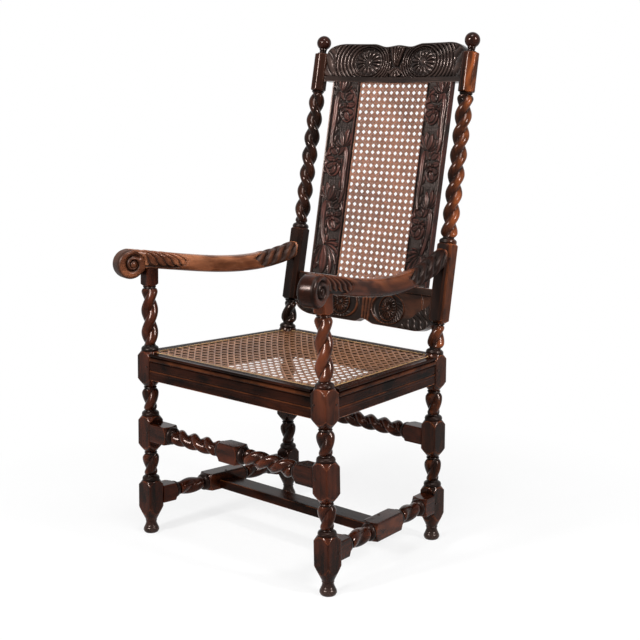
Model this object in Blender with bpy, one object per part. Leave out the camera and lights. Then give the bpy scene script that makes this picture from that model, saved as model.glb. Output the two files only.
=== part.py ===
"""High-backed open armchair: twist-turned walnut frame, carved back, caned seat and back panel.

Right is +X and the front is -Y. The chair is drawn with its front legs on y = 0 and then centred.
"""
import math
from collections import defaultdict
from functools import partial

import bmesh
import bpy

# Clearance between neighbouring pieces
GAP = 0.0003

# Plan of the frame
FRONT_SPREAD = 0.578  # front leg axes at the floor
FRONT_LEAN = 0.0245  # inward lean of a front leg for each metre of height
REAR_SPREAD = 0.474  # rear post axes below the seat
POST_TAPER = 0.0086  # inward lean of a rear post for each metre above the seat
SEAT_DEPTH = 0.421  # front leg axes to rear post axes
BACK_RAKE = math.radians(10.4)  # backward lean above the seat
BACK_HOLLOW = 0.020  # how far the middle of the back curves away

# Squares and turnings
BLOCK = 0.0426  # square of a front leg and of the stretchers' blocks
POST = 0.041  # square of a rear post
CREST_BLOCK = 0.0385  # square of a post beside the crest
ARM_BLOCK = 0.032  # square of a front leg under the arm
EASED_EDGE = 0.0016
POST_CHAMFER = 0.006
TWIST_RADIUS = 0.0188
TWIST_WAIST = 0.0125
COLLAR = 0.010  # turned bead at each end of a twist
BLOCK_TAPER = 0.009
BLOCK_FOOT = 0.022  # taper under a block of a leg or post

# Heights of a leg, from the floor up
FOOT_HEIGHT = 0.046
FOOT_RADIUS = 0.0188
ANKLE_RADIUS = 0.0130
LOWER_BLOCK_HEIGHT = 0.085
LOWER_TWIST_LENGTH = 0.071
MIDDLE_BLOCK_HEIGHT = 0.089
UPPER_TWIST_LENGTH = 0.071
SEAT_BLOCK_HEIGHT = 0.086
SUPPORT_TWIST_LENGTH = 0.154
ARM_BLOCK_HEIGHT = 0.043
LEG_HALF_TURN = 0.052  # length of half a turn of a leg's twist

# Rear post above the seat, measured up the rake
BACK_TWIST_LENGTH = 0.0726
BACK_BLOCK_HEIGHT = 0.1844
LONG_TWIST_LENGTH = 0.348
CREST_BLOCK_HEIGHT = 0.092
LONG_HALF_TURN = 0.045
FINIAL_RADIUS = 0.018
FINIAL_NECK = 0.008
FINIAL_LIFT = 0.0287  # block top to ball centre
SPIGOT_RADIUS = 0.006
SPIGOT_LENGTH = 0.018

# Joints
TENON_THICKNESS = 0.010
TENON_LENGTH = 0.0185
TENON_OFFSET = 0.006  # rail tenons stand off the leg axis so that they pass each other
TENON_HEIGHT = 0.036  # rail tenons
STRETCHER_TENON = 0.024
PEG_RADIUS = 0.003
PEG_LENGTH = 0.027
PEG_PROUD = 0.0006

# Seat rails
RAIL_HEIGHT = 0.063
RAIL_DROP = 0.0035  # rail top under the top of the seat block
RAIL_SETBACK = 0.002  # rail face behind the block face
MOULDING_HEIGHT = 0.012
MOULDING_GROOVE = 0.003
RABBET_WIDTH = 0.012
SEAT_RABBET = 0.019  # the same step in the seat rails

# Caned panels
CANE_THICKNESS = 0.003
CANE_SEAT = 0.0115  # how far the panel lies on its frame
SEAT_CANE_SEAT = 0.0185  # the same on the seat rails
CANE_MARGIN = 0.002  # first gap inside the frame
CANE_GAP_SHARE = 0.58  # open share of the pitch
SEAT_CANE_COLUMNS = 10
SEAT_CANE_ROWS = 8
BACK_CANE_COLUMNS = 6
BACK_CANE_ROWS = 14
BACK_CANE_RECESS = 0.006  # panel behind the carved faces

# Stretchers
STRETCHER_HALF_TURN = 0.043
FRONT_STRETCHER_RISE = 0.0075  # stretcher axis above the middle of its leg block
REAR_STRETCHER_RISE = 0.0035
SIDE_STRETCHER_RISE = 0.0045
STRETCHER_END_BLOCK = 0.055
STRETCHER_MIDDLE_BLOCK = 0.062
SIDE_END_BLOCK = 0.046
SIDE_MIDDLE_BLOCK = 0.118
MEDIAL_WIDTH = 0.050
MEDIAL_THICKNESS = 0.022
MEDIAL_DROP = 0.008  # medial axis under the side stretchers' axis

# Carved back
CARVED_THICKNESS = 0.022
CARVED_FACE = 0.004  # carved face in front of the post axes, at the posts
CREST_LIFT = 0.025  # crest's lower edge above the foot of the crest block
CREST_HEIGHT = 0.0945
CREST_SHOULDER = 0.023  # drop of the outline at the posts
CREST_DIP = 0.007  # drop of the outline beside the middle shell
LOWER_RAIL_DROP = 0.029  # lowest edge under the foot of the back block
LOWER_RAIL_HEIGHT = 0.104
SHOULDER_WIDTH = 0.055
SHELL_WIDTH = 0.076
ROSETTE_RADIUS = 0.029
ROSETTE_HEIGHT = 0.004
ROSETTE_SPREAD = 0.164
UPRIGHT_WIDTH = 0.080
UPRIGHT_THICKNESS = 0.015
UPRIGHT_BORDER = 0.009
UPRIGHT_GROUND = 0.004  # depth of the sunk ground between the borders
BACK_OPENING = 0.212  # between the uprights
BACK_TENON_WIDTH = 0.046

# Arms
ARM_WIDTH = 0.047
ARM_REAR_WIDTH = 0.038
ARM_HEIGHT = 0.040
ARM_DIP = 0.060  # pull of the arm's curve under its front end
RIGHT_ARM_RISE = 0.022  # right arm's rear end above the left's, as the hand-made chair has it
SCROLL_RADIUS = 0.0337
SCROLL_WIDTH = 0.044
SCROLL_REACH = 0.048  # scroll centre in front of the leg axis
SCROLL_FLARE = 0.016  # scroll centre outside the leg axis
SCROLL_TURN = math.radians(15)  # outward turn of the scroll in plan
SCROLL_RISE = 0.005  # scroll's top above the arm's top
SCROLL_EYE = 0.011
ARM_TENON = 0.018
ARM_TENON_LENGTH = 0.016

# Facets
RING = 8  # points round a turned member
STEPS_PER_HALF_TURN = 4
BALL_RING = 12
SCROLL_RING = 20
ARM_STEPS = 10

# Levels and places that follow from the sizes
lower_block = FOOT_HEIGHT
lower_twist = lower_block + LOWER_BLOCK_HEIGHT
middle_block = lower_twist + LOWER_TWIST_LENGTH
upper_twist = middle_block + MIDDLE_BLOCK_HEIGHT
seat_block = upper_twist + UPPER_TWIST_LENGTH
support_twist = seat_block + SEAT_BLOCK_HEIGHT
arm_block = support_twist + SUPPORT_TWIST_LENGTH
arm_seat = arm_block + ARM_BLOCK_HEIGHT
back_block = BACK_TWIST_LENGTH
long_twist = back_block + BACK_BLOCK_HEIGHT
crest_block = long_twist + LONG_TWIST_LENGTH
post_top = crest_block + CREST_BLOCK_HEIGHT
rail_top = support_twist - RAIL_DROP
rail_bottom = rail_top - RAIL_HEIGHT
rail_middle = (rail_top + rail_bottom) / 2
arm_front = arm_seat + ARM_HEIGHT / 2
side_stretcher_z = lower_block + LOWER_BLOCK_HEIGHT / 2 + SIDE_STRETCHER_RISE
middle_block_z = middle_block + MIDDLE_BLOCK_HEIGHT / 2
post_x = REAR_SPREAD / 2
post_inner = post_x - POST / 2
crest_bottom = crest_block + CREST_LIFT
lower_rail_bottom = back_block - LOWER_RAIL_DROP
lower_rail_top = lower_rail_bottom + LOWER_RAIL_HEIGHT
front_face = BLOCK / 2
rear_face = SEAT_DEPTH - POST / 2
cane_depth = BACK_CANE_RECESS + CANE_THICKNESS + GAP

FINISHES = {
    "dark_walnut": ((0.045, 0.020, 0.012), 0.32),
    "post_walnut": ((0.085, 0.034, 0.018), 0.30),
    "arm_walnut": ((0.120, 0.052, 0.026), 0.30),
    "carved_walnut": ((0.034, 0.017, 0.011), 0.36),
    "oak_peg": ((0.055, 0.028, 0.016), 0.45),
    "cane": ((0.300, 0.150, 0.066), 0.55),
}

for leftover in list(bpy.data.objects):
    bpy.data.objects.remove(leftover)

chair = bpy.data.objects.new("chair", None)
bpy.context.collection.objects.link(chair)
pieces = {}
cuts = defaultdict(list)


def finish(name):
    """Material of a finish, made the first time it is asked for."""
    if name not in bpy.data.materials:
        colour, roughness = FINISHES[name]
        material = bpy.data.materials.new(name)
        material.use_nodes = True
        shader = material.node_tree.nodes["Principled BSDF"]
        shader.inputs["Base Color"].default_value = (*colour, 1.0)
        shader.inputs["Roughness"].default_value = roughness
        shader.inputs["Metallic"].default_value = 0.0
    return bpy.data.materials[name]


def loft(mesh, rings):
    """Add one closed body through rings that have the same number of points."""
    loops = [[mesh.verts.new(point) for point in ring] for ring in rings]
    for low, high in zip(loops, loops[1:]):
        for i in range(len(low)):
            j = (i + 1) % len(low)
            mesh.faces.new((low[i], low[j], high[j], high[i]))
    mesh.faces.new(reversed(loops[0]))
    mesh.faces.new(loops[-1])


def body_object(name, bodies):
    """Object whose mesh holds the given lofted bodies, in the chair's frame."""
    mesh = bmesh.new()
    for rings in bodies:
        loft(mesh, rings)
    bmesh.ops.recalc_face_normals(mesh, faces=mesh.faces)
    bmesh.ops.triangulate(mesh, faces=mesh.faces, quad_method="SHORT_EDGE")
    data = bpy.data.meshes.new(name)
    mesh.to_mesh(data)
    mesh.free()
    thing = bpy.data.objects.new(name, data)
    thing.parent = chair
    bpy.context.collection.objects.link(thing)
    return thing


def piece(name, rings, finish_name):
    """Named sub-part with its material."""
    thing = body_object(name, [rings])
    thing.data.materials.append(finish(finish_name))
    thing.data.shade_smooth()
    thing.data.set_sharp_from_angle(angle=math.radians(32))
    pieces[name] = thing
    return thing


def boolean(target, name, bodies, operation):
    """Join bodies to a piece or cut them from it, with a hidden guide."""
    guide = body_object(name, bodies)
    guide.hide_render = True
    guide.display_type = "WIRE"
    modifier = target.modifiers.new(name, "BOOLEAN")
    modifier.operation = operation
    modifier.solver = "EXACT"
    modifier.object = guide


def square(half_a, half_b, edge):
    """Ring of a rectangle with eased corners."""
    a, b = half_a, half_b
    half_ring = [(a, b - edge), (a - edge, b), (edge - a, b), (-a, b - edge)]
    return half_ring + [(-x, -y) for x, y in half_ring]


def circle(radius, count=RING):
    """Ring of a circle, with flats on the four sides."""
    turns = [math.tau * (i + 0.5) / count for i in range(count)]
    return [(radius * math.cos(t), radius * math.sin(t)) for t in turns]


def two_strands(radius, waist, phase):
    """Ring of a double twist: the outline of two round strands that lie side by side."""
    offset = (radius * radius - waist * waist) / (2 * radius)
    strand = radius - offset
    points = []
    for i in range(RING):
        t = math.tau * i / RING
        reach = offset * abs(math.cos(t)) + math.sqrt(strand**2 - (offset * math.sin(t)) ** 2)
        points.append((reach * math.cos(t + phase), reach * math.sin(t + phase)))
    return points


class Turning:
    """Rings of a square-and-turned member, gathered along its axis."""

    def __init__(self, count=RING):
        self.rings = []
        self.count = count
        self.turn = 0

    def add(self, along, shape):
        shift = self.turn % self.count
        rolled = shape[shift:] + shape[:shift]
        self.rings.append([(a, b, along) for a, b in rolled])

    def round(self, along, radius):
        self.add(along, circle(radius, self.count))

    def block(self, start, end, size, edge=EASED_EDGE):
        half = size / 2
        self.add(start, square(half * 0.66, half * 0.66, half * 0.2))
        self.add(start + BLOCK_FOOT, square(half, half, edge))
        self.add(end - BLOCK_TAPER, square(half, half, edge))
        self.round(end, half * 0.84)

    def spindle(self, start, end, half_turn, hand, radius=TWIST_RADIUS, waist=TWIST_WAIST):
        """Bead, double twist and bead between two blocks."""
        self.round(start + COLLAR * 0.3, waist)
        self.round(start + COLLAR * 0.7, radius * 0.96)
        first, last = start + COLLAR * 1.2, end - COLLAR * 1.2
        half_turns = (last - first) / half_turn
        steps = max(2, round(half_turns * STEPS_PER_HALF_TURN))
        for i in range(steps + 1):
            swell = min(1.0, 4 * min(i, steps - i) / steps + 0.25)
            lobe = waist + (radius - waist) * swell
            phase = hand * math.pi * half_turns * i / steps + math.tau * self.turn / RING
            shape = two_strands(lobe, waist, phase)
            self.rings.append([(a, b, first + (last - first) * i / steps) for a, b in shape])
        self.turn += round(hand * half_turns * RING / 2)
        self.round(end - COLLAR * 0.7, radius * 0.96)
        self.round(end - COLLAR * 0.3, waist)

    def tenon(self, shoulder, end, half_a, half_b):
        edge = EASED_EDGE / 2
        for along in (shoulder, end):
            self.add(along, square(half_a, half_b, edge))

    def placed(self, place):
        return [[place(*point) for point in ring] for ring in self.rings]


def slab(place, a_span, b_span, s_span, grow=0.0, steps=1):
    """Rings of a box, in a member's own directions; grow widens it all round but not at its open end."""
    (a0, a1), (b0, b1), (s0, s1) = a_span, b_span, s_span
    a0, a1, b0, b1 = a0 - grow, a1 + grow, b0 - grow, b1 + grow
    s1 += math.copysign(grow, s1 - s0)
    rings = []
    for i in range(steps + 1):
        s = s0 + (s1 - s0) * i / steps
        rings.append([place(a, b, s) for a, b in ((a0, b0), (a1, b0), (a1, b1), (a0, b1))])
    return rings


def centred(middle, size):
    return (middle - size / 2, middle + size / 2)


def cut(name, stage, rings):
    """Note a cut; all cuts of one stage in one piece are made together at the end."""
    cuts[name, stage].append(rings)


def peg(name, start, direction, held):
    """Round peg driven in at start, with its hole in each piece that it locks."""
    side_a = (direction[1], direction[2], direction[0])
    side_b = tuple(
        direction[i - 2] * side_a[i - 1] - direction[i - 1] * side_a[i - 2] for i in range(3)
    )
    length = math.sqrt(sum(c * c for c in side_b))
    side_b = tuple(c / length for c in side_b)
    side_a = tuple(
        side_b[i - 2] * direction[i - 1] - side_b[i - 1] * direction[i - 2] for i in range(3)
    )

    def along(a, b, s):
        return tuple(start[i] + side_a[i] * a + side_b[i] * b + direction[i] * s for i in range(3))

    def rings(radius, first, last):
        shape = circle(radius, 8)
        return [[along(a, b, s) for a, b in shape] for s in (first, last)]

    piece(name, rings(PEG_RADIUS, -PEG_PROUD, PEG_LENGTH), "oak_peg")
    for other in held:
        cut(other, "peg_holes", rings(PEG_RADIUS + GAP, -2 * PEG_RADIUS, PEG_LENGTH + GAP))


def on_back(u, v, w):
    """Point of the raked back: across, up the rake from its foot, and forward of the post axes."""
    y = SEAT_DEPTH + v * math.sin(BACK_RAKE) - w * math.cos(BACK_RAKE)
    z = support_twist + v * math.cos(BACK_RAKE) + w * math.sin(BACK_RAKE)
    return (u, y, z)


def on_bow(u, v, w):
    """Point of the hollowed back panel."""
    hollow = BACK_HOLLOW * max(0.0, 1 - (u / post_inner) ** 2)
    return on_back(u, v, w - hollow)


def post_at(v):
    """Rear post axis up the rake."""
    return post_x - POST_TAPER * max(0.0, v)


def leg_x(z):
    """Front leg axis at a height."""
    return FRONT_SPREAD / 2 - FRONT_LEAN * z


def smooth(t):
    t = min(1.0, max(0.0, t))
    return t * t * (3 - 2 * t)


def foot(member):
    member.round(0.0, FOOT_RADIUS * 0.84)
    member.round(FOOT_HEIGHT * 0.28, FOOT_RADIUS)
    member.round(FOOT_HEIGHT * 0.54, (FOOT_RADIUS + ANKLE_RADIUS) / 2)
    member.round(FOOT_HEIGHT * 0.78, ANKLE_RADIUS)
    member.round(FOOT_HEIGHT * 0.92, ANKLE_RADIUS * 1.15)


def lower_leg(member, size, hand):
    """Foot, three blocks and the two short twists that all four legs share."""
    foot(member)
    member.block(lower_block, lower_twist, size)
    member.spindle(lower_twist, middle_block, LEG_HALF_TURN, hand)
    member.block(middle_block, upper_twist, size)
    member.spindle(upper_twist, seat_block, LEG_HALF_TURN, hand)
    member.block(seat_block, support_twist, size)


def front_leg(side, word):
    member = Turning()
    lower_leg(member, BLOCK, 1)
    member.spindle(support_twist, arm_block, LEG_HALF_TURN, 1)
    member.add(arm_block, square(ARM_BLOCK * 0.33, ARM_BLOCK * 0.33, ARM_BLOCK * 0.1))
    for level in (arm_block + BLOCK_TAPER, arm_seat):
        member.add(level, square(ARM_BLOCK / 2, ARM_BLOCK / 2, POST_CHAMFER / 2))
    member.tenon(arm_seat, arm_seat + ARM_TENON_LENGTH, ARM_TENON / 2, ARM_TENON / 2)
    rings = member.placed(lambda a, b, z: (side * leg_x(z) + a, b, z))
    piece(f"front_leg_{word}", rings, "dark_walnut")


def rear_post(side, word):
    member = Turning()
    bend = support_twist
    lower_leg(member, POST, 1)
    member.spindle(bend, bend + back_block, LEG_HALF_TURN, 1)
    member.block(bend + back_block, bend + long_twist, POST, POST_CHAMFER)
    member.spindle(bend + long_twist, bend + crest_block, LONG_HALF_TURN, side)
    member.block(bend + crest_block, bend + post_top, CREST_BLOCK, POST_CHAMFER)

    def place(a, b, s):
        if s <= bend:
            return (side * post_x + a, SEAT_DEPTH + b, s)
        return on_back(side * post_at(s - bend) + a, s - bend, -b)

    piece(f"rear_post_{word}", member.placed(place), "post_walnut")


def finial(side, word):
    member = Turning(BALL_RING)
    member.round(post_top - SPIGOT_LENGTH, SPIGOT_RADIUS)
    member.round(post_top + GAP, SPIGOT_RADIUS)
    member.round(post_top + GAP, FINIAL_NECK * 1.7)
    member.round(post_top + FINIAL_LIFT * 0.14, FINIAL_NECK * 1.7)
    member.round(post_top + FINIAL_LIFT * 0.3, FINIAL_NECK)
    for degrees in (-58, -30, 0, 30, 60, 82):
        t = math.radians(degrees)
        member.round(post_top + FINIAL_LIFT + FINIAL_RADIUS * math.sin(t), FINIAL_RADIUS * math.cos(t))

    def place(a, b, v):
        return on_back(side * post_at(v) + a, v, -b)

    piece(f"finial_{word}", member.placed(place), "post_walnut")
    socket = [
        [place(a, b, v) for a, b in circle(SPIGOT_RADIUS + GAP, BALL_RING)]
        for v in (post_top - SPIGOT_LENGTH - GAP, post_top + SPIGOT_LENGTH)
    ]
    cut(f"rear_post_{word}", "mortises", socket)


def rail_profile(outer, inner):
    """Rail section as (place across, height): moulded outer edge, rabbet for the cane inside."""
    inward = math.copysign(1.0, inner - outer)
    groove = outer + inward * MOULDING_GROOVE
    bead = outer - inward * RAIL_SETBACK * 0.75
    rabbet = inner - inward * SEAT_RABBET
    floor = rail_top - CANE_THICKNESS - GAP
    neck = rail_top - MOULDING_HEIGHT
    return [
        (outer, rail_bottom),
        (outer, neck - MOULDING_GROOVE),
        (groove, neck - MOULDING_GROOVE / 2),
        (groove, neck),
        (bead, neck + MOULDING_GROOVE / 2),
        (bead, rail_top - MOULDING_GROOVE),
        (groove, rail_top),
        (rabbet, rail_top),
        (rabbet, floor),
        (inner, floor),
        (inner, rail_bottom),
    ]


def tenon_joint(rail, post, place, a_span, b_span, shoulder, direction):
    """Tenon that grows from a rail's shoulder and its mortise in the post."""
    end = shoulder + direction * TENON_LENGTH
    root = shoulder - direction * TENON_THICKNESS / 2
    boolean(pieces[rail], f"{rail}_tenon_{post}", [slab(place, a_span, b_span, (root, end))], "UNION")
    cut(post, "mortises", slab(place, a_span, b_span, (root, end), GAP))


def cross_rail(name, outer, inner, reach, posts, peg_y, inward):
    """Front or rear rail; reach gives the shoulder at a height, posts name what it joins."""
    profile = rail_profile(outer, inner)
    rings = [[(side * (reach(z) - GAP), y, z) for y, z in profile] for side in (-1, 1)]
    piece(name, rings, "dark_walnut")
    tenon_y = centred(peg_y + inward * (-TENON_OFFSET), TENON_THICKNESS)
    for side, post in zip((-1, 1), posts):

        def place(y, z, s, side=side):
            return (side * (reach(z) + s), y, z)

        span = centred(rail_middle, TENON_HEIGHT)
        tenon_joint(name, post, place, tenon_y, span, -GAP, 1)
        x = side * (reach(rail_middle) + TENON_LENGTH / 2)
        half = BLOCK / 2 if inward > 0 else POST / 2
        start = (x, peg_y - inward * half, rail_middle)
        peg(f"peg_{name}_{post.split('_')[-1]}", start, (0.0, inward, 0.0), (name, post))


def side_rail(side, word):
    name = f"side_rail_{word}"
    front_x, rear_x = leg_x(rail_middle), post_x
    first, last = front_face + GAP, rear_face - GAP

    def across(front, rear, y):
        return front + (rear - front) * (y - first) / (last - first)

    def outer(y):
        return across(front_x + BLOCK / 2, rear_x + POST / 2, y) - RAIL_SETBACK

    def inner(y):
        return across(leg_x(rail_top) - BLOCK / 2, post_inner, y)

    rings = [[(side * x, y, z) for x, z in rail_profile(outer(y), inner(y))] for y in (first, last)]
    piece(name, rings, "dark_walnut")

    def place(offset, z, y):
        return (side * (across(front_x, rear_x, y) + offset), y, z)

    across_span = centred(TENON_OFFSET, TENON_THICKNESS)
    up_span = centred(rail_middle, TENON_HEIGHT)
    for post, shoulder, direction, half in (
        ("front_leg", first, -1, BLOCK / 2),
        ("rear_post", last, 1, POST / 2),
    ):
        tenon_joint(name, f"{post}_{word}", place, across_span, up_span, shoulder, direction)
        y = shoulder + direction * TENON_LENGTH / 2
        x = front_x if direction < 0 else rear_x
        start = (side * (x + half), y, rail_middle)
        peg(f"peg_{name}_{post}", start, (-side, 0.0, 0.0), (name, f"{post}_{word}"))


def cross_stretcher(name, reach, y, z, size, posts, middle, peg_side):
    """Front or rear stretcher between two legs, in their middle blocks."""
    far = reach(z) - GAP
    half = size / 2
    member = Turning()
    member.tenon(-far - TENON_LENGTH, -far, TENON_THICKNESS / 2, STRETCHER_TENON / 2)
    member.add(-far, square(half, half, EASED_EDGE))
    inner_end = -far + STRETCHER_END_BLOCK
    member.add(inner_end - BLOCK_TAPER, square(half, half, EASED_EDGE))
    member.round(inner_end, half * 0.84)
    if middle:
        start = -middle / 2
        member.spindle(inner_end, start, STRETCHER_HALF_TURN, 1)
        member.add(start, square(half * 0.66, half * 0.66, half * 0.2))
        member.add(start + BLOCK_TAPER, square(half, half, EASED_EDGE))
        member.add(-start - BLOCK_TAPER, square(half, half, EASED_EDGE))
        member.add(-start, square(half * 0.66, half * 0.66, half * 0.2))
        member.spindle(-start, -inner_end, STRETCHER_HALF_TURN, -1)
    else:
        member.spindle(inner_end, -inner_end, STRETCHER_HALF_TURN, 1)
    member.round(-inner_end, half * 0.84)
    member.add(-inner_end + BLOCK_TAPER, square(half, half, EASED_EDGE))
    member.add(far, square(half, half, EASED_EDGE))
    member.tenon(far, far + TENON_LENGTH, TENON_THICKNESS / 2, STRETCHER_TENON / 2)

    def place(a, b, s):
        return (s * reach(z + b) / reach(z), y + a, z + b)

    piece(name, member.placed(place), "dark_walnut")
    across_span = centred(0.0, TENON_THICKNESS)
    up_span = centred(0.0, STRETCHER_TENON)
    for side, post in zip((-1, 1), posts):
        mouth = side * (far - TENON_THICKNESS)
        cut(post, "mortises", slab(place, across_span, up_span, (mouth, side * (far + TENON_LENGTH)), GAP))
        start = (side * (reach(z) + TENON_LENGTH / 2), y - peg_side * size / 2, z)
        peg(f"peg_{name}_{post.split('_')[-1]}", start, (0.0, peg_side, 0.0), (name, post))


def side_stretcher(side, word):
    name = f"side_stretcher_{word}"
    z = side_stretcher_z
    first, last = front_face + GAP, rear_face - GAP
    middle = (first + last) / 2
    half = BLOCK / 2
    member = Turning()
    member.tenon(first - TENON_LENGTH, first, TENON_THICKNESS / 2, STRETCHER_TENON / 2)
    member.add(first, square(half, half, EASED_EDGE))
    member.add(first + SIDE_END_BLOCK - BLOCK_TAPER, square(half, half, EASED_EDGE))
    member.round(first + SIDE_END_BLOCK, half * 0.84)
    start, end = centred(middle, SIDE_MIDDLE_BLOCK)
    member.spindle(first + SIDE_END_BLOCK, start, STRETCHER_HALF_TURN, 1)
    member.add(start, square(half * 0.66, half * 0.66, half * 0.2))
    member.add(start + BLOCK_TAPER, square(half, half, EASED_EDGE))
    member.add(end - BLOCK_TAPER, square(half, half, EASED_EDGE))
    member.add(end, square(half * 0.66, half * 0.66, half * 0.2))
    member.spindle(end, last - SIDE_END_BLOCK, STRETCHER_HALF_TURN, 1)
    member.round(last - SIDE_END_BLOCK, half * 0.84)
    member.add(last - SIDE_END_BLOCK + BLOCK_TAPER, square(half, half, EASED_EDGE))
    member.add(last, square(half, half, EASED_EDGE))
    member.tenon(last, last + TENON_LENGTH, TENON_THICKNESS / 2, STRETCHER_TENON / 2)

    def place(a, b, y):
        return (side * side_stretcher_x(y) + a, y, z + b)

    piece(name, member.placed(place), "dark_walnut")
    across_span = centred(0.0, TENON_THICKNESS)
    up_span = centred(0.0, STRETCHER_TENON)
    for post, shoulder, direction, block in (
        ("front_leg", first, -1, BLOCK / 2),
        ("rear_post", last, 1, POST / 2),
    ):
        ends = (shoulder - direction * TENON_THICKNESS, shoulder + direction * TENON_LENGTH)
        cut(f"{post}_{word}", "mortises", slab(place, across_span, up_span, ends, GAP))
        axis = leg_x(z) if direction < 0 else post_x
        start_point = (side * (axis + block), shoulder + direction * TENON_LENGTH / 2, z)
        peg(f"peg_{name}_{post}", start_point, (-side, 0.0, 0.0), (name, f"{post}_{word}"))


def side_stretcher_x(y):
    """Axis of a side stretcher, from a front leg to a rear post."""
    return leg_x(side_stretcher_z) + (post_x - leg_x(side_stretcher_z)) * y / SEAT_DEPTH


def medial_stretcher():
    """Flat bar tenoned into the middle blocks of the side stretchers."""
    name = "medial_stretcher"
    y = (front_face + rear_face) / 2
    z = side_stretcher_z - MEDIAL_DROP
    outline = square(MEDIAL_WIDTH / 2, MEDIAL_THICKNESS / 2, EASED_EDGE)

    def reach(side, a, b, s):
        return (side * (side_stretcher_x(y + a) - BLOCK / 2 + s), y + a, z + b)

    piece(name, [[reach(side, a, b, -GAP) for a, b in outline] for side in (-1, 1)], "dark_walnut")
    tenon_span = centred(0.0, MEDIAL_WIDTH - 2 * TENON_THICKNESS)
    thick_span = centred(0.0, TENON_THICKNESS)
    for side, word in ((-1, "left"), (1, "right")):
        tenon_joint(name, f"side_stretcher_{word}", partial(reach, side), tenon_span, thick_span, -GAP, 1)
        start = reach(side, 0.0, side_stretcher_z - z + BLOCK / 2, TENON_LENGTH / 2)
        peg(f"peg_medial_{word}", start, (0.0, 0.0, -1.0), (name, f"side_stretcher_{word}"))


def back_outline(u, end, shoulder):
    """Drop of a carved rail's free edge: round shoulders at the posts, a dip on each side of the shell."""
    reach = max(0.0, abs(u) - (end - SHOULDER_WIDTH)) / SHOULDER_WIDTH
    corner = shoulder * (1 - math.sqrt(max(0.0, 1 - reach**2)))
    away = abs(u) / (SHELL_WIDTH / 2)
    dip = CREST_DIP * (smooth(2 - away) if away > 1 else 0.45 + 0.55 * smooth(away))
    return corner + dip


def carved_rail(name, block, low, high, tenon_v):
    """Carved rail of the back between two post blocks; low and high give its edges at a place across."""
    tenon_middle = sum(tenon_v) / 2

    def reach(v):
        return post_at(v) - block / 2

    end = reach(tenon_middle)
    stations = sorted(
        {end - GAP}
        | {end - SHOULDER_WIDTH * share for share in (0.05, 0.15, 0.35, 0.65, 1.0)}
        | {SHELL_WIDTH * share for share in (0.25, 0.5, 0.7, 1.0)}
    )
    stations = [-u for u in reversed(stations)] + [0.0] + stations
    face, rear = CARVED_FACE, CARVED_FACE - CARVED_THICKNESS
    soft = CARVED_THICKNESS / 4
    rings = []
    for u in stations:
        bottom, top = low(u, end), high(u, end)
        section = (
            (bottom, face), (top - soft, face), (top, face - soft), (top, rear + soft),
            (top - soft, rear), (bottom, rear),
        )
        rings.append([on_bow(u * reach(v) / end, v, w) for v, w in section])
    piece(name, rings, "carved_walnut")
    tenon_w = centred(face - CARVED_THICKNESS / 2, TENON_THICKNESS)
    for side, word in ((-1, "left"), (1, "right")):

        def place(v, w, s, side=side):
            return on_back(side * (reach(v) + s), v, w)

        post = f"rear_post_{word}"
        tenon_joint(name, post, place, tenon_v, tenon_w, -GAP, 1)
        start = place(tenon_middle, -block / 2, TENON_LENGTH / 2)
        inward = (0.0, -math.cos(BACK_RAKE), math.sin(BACK_RAKE))
        peg(f"peg_{name}_{word}", start, inward, (name, post))


def rosettes(name, v):
    """Raised roundels with a central boss on a carved rail."""
    bodies = []
    for side in (-1, 1):
        steps = ((-ROSETTE_HEIGHT, 1.0), (ROSETTE_HEIGHT / 2, 1.0), (ROSETTE_HEIGHT / 2, 0.8),
                 (0.0, 0.55), (ROSETTE_HEIGHT / 2, 0.3), (ROSETTE_HEIGHT, 0.2))
        bodies.append([
            [on_bow(side * ROSETTE_SPREAD / 2 + a, v + b, CARVED_FACE + w)
             for a, b in circle(ROSETTE_RADIUS * share, BALL_RING)]
            for w, share in steps
        ])
    boolean(pieces[name], f"{name}_rosettes", bodies, "UNION")


def cane_rabbet(name, edge, direction):
    """Step in the front of a carved rail that takes the edge of the caned panel."""
    reach = BACK_OPENING / 2 + CANE_MARGIN
    depth = (CARVED_FACE - cane_depth, CARVED_FACE + CARVED_THICKNESS)
    span = sorted((edge - direction * RABBET_WIDTH, edge + direction * RABBET_WIDTH))

    def place(v, w, s):
        return on_bow(s, v, w)

    cut(name, "mortises", slab(place, span, depth, (-reach, reach), steps=12))


def upright(side, word):
    """Carved upright with raised borders, a sunk ground and a rabbet for the cane."""
    name = f"back_upright_{word}"
    inner = BACK_OPENING / 2
    outer = inner + UPRIGHT_WIDTH
    face, rear = CARVED_FACE, CARVED_FACE - UPRIGHT_THICKNESS
    ground = face - UPRIGHT_GROUND
    step = inner + RABBET_WIDTH
    section = (
        (inner, rear), ((inner + outer) / 2, rear), (outer, rear), (outer, face),
        (outer - UPRIGHT_BORDER, face), (outer - UPRIGHT_BORDER * 1.3, ground),
        ((inner + outer) / 2, ground), (step + UPRIGHT_BORDER * 1.3, ground), (step + UPRIGHT_BORDER, face),
        (step, face), (step, face - cane_depth), (inner, face - cane_depth),
    )
    ends = (lower_rail_top + GAP, crest_bottom - GAP)
    rings = [[on_bow(side * u, v, w) for u, w in section] for v in ends]
    piece(name, rings, "carved_walnut")
    middle = (inner + outer) / 2
    tenon_w = centred((rear + ground) / 2, TENON_THICKNESS * 0.8)

    def place(u, w, v):
        return on_bow(side * u, v, w)

    tenon_u = centred(middle, BACK_TENON_WIDTH)
    tenon_joint(name, "lower_back_rail", place, tenon_u, tenon_w, ends[0], -1)
    tenon_joint(name, "crest_rail", place, tenon_u, tenon_w, ends[1], 1)


def post_front(z):
    """Front face of a rear post above the seat, at a height: its depth and its place up the rake."""
    v = (z - support_twist - POST / 2 * math.sin(BACK_RAKE)) / math.cos(BACK_RAKE)
    return on_back(0.0, v, POST / 2)[1], v


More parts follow.
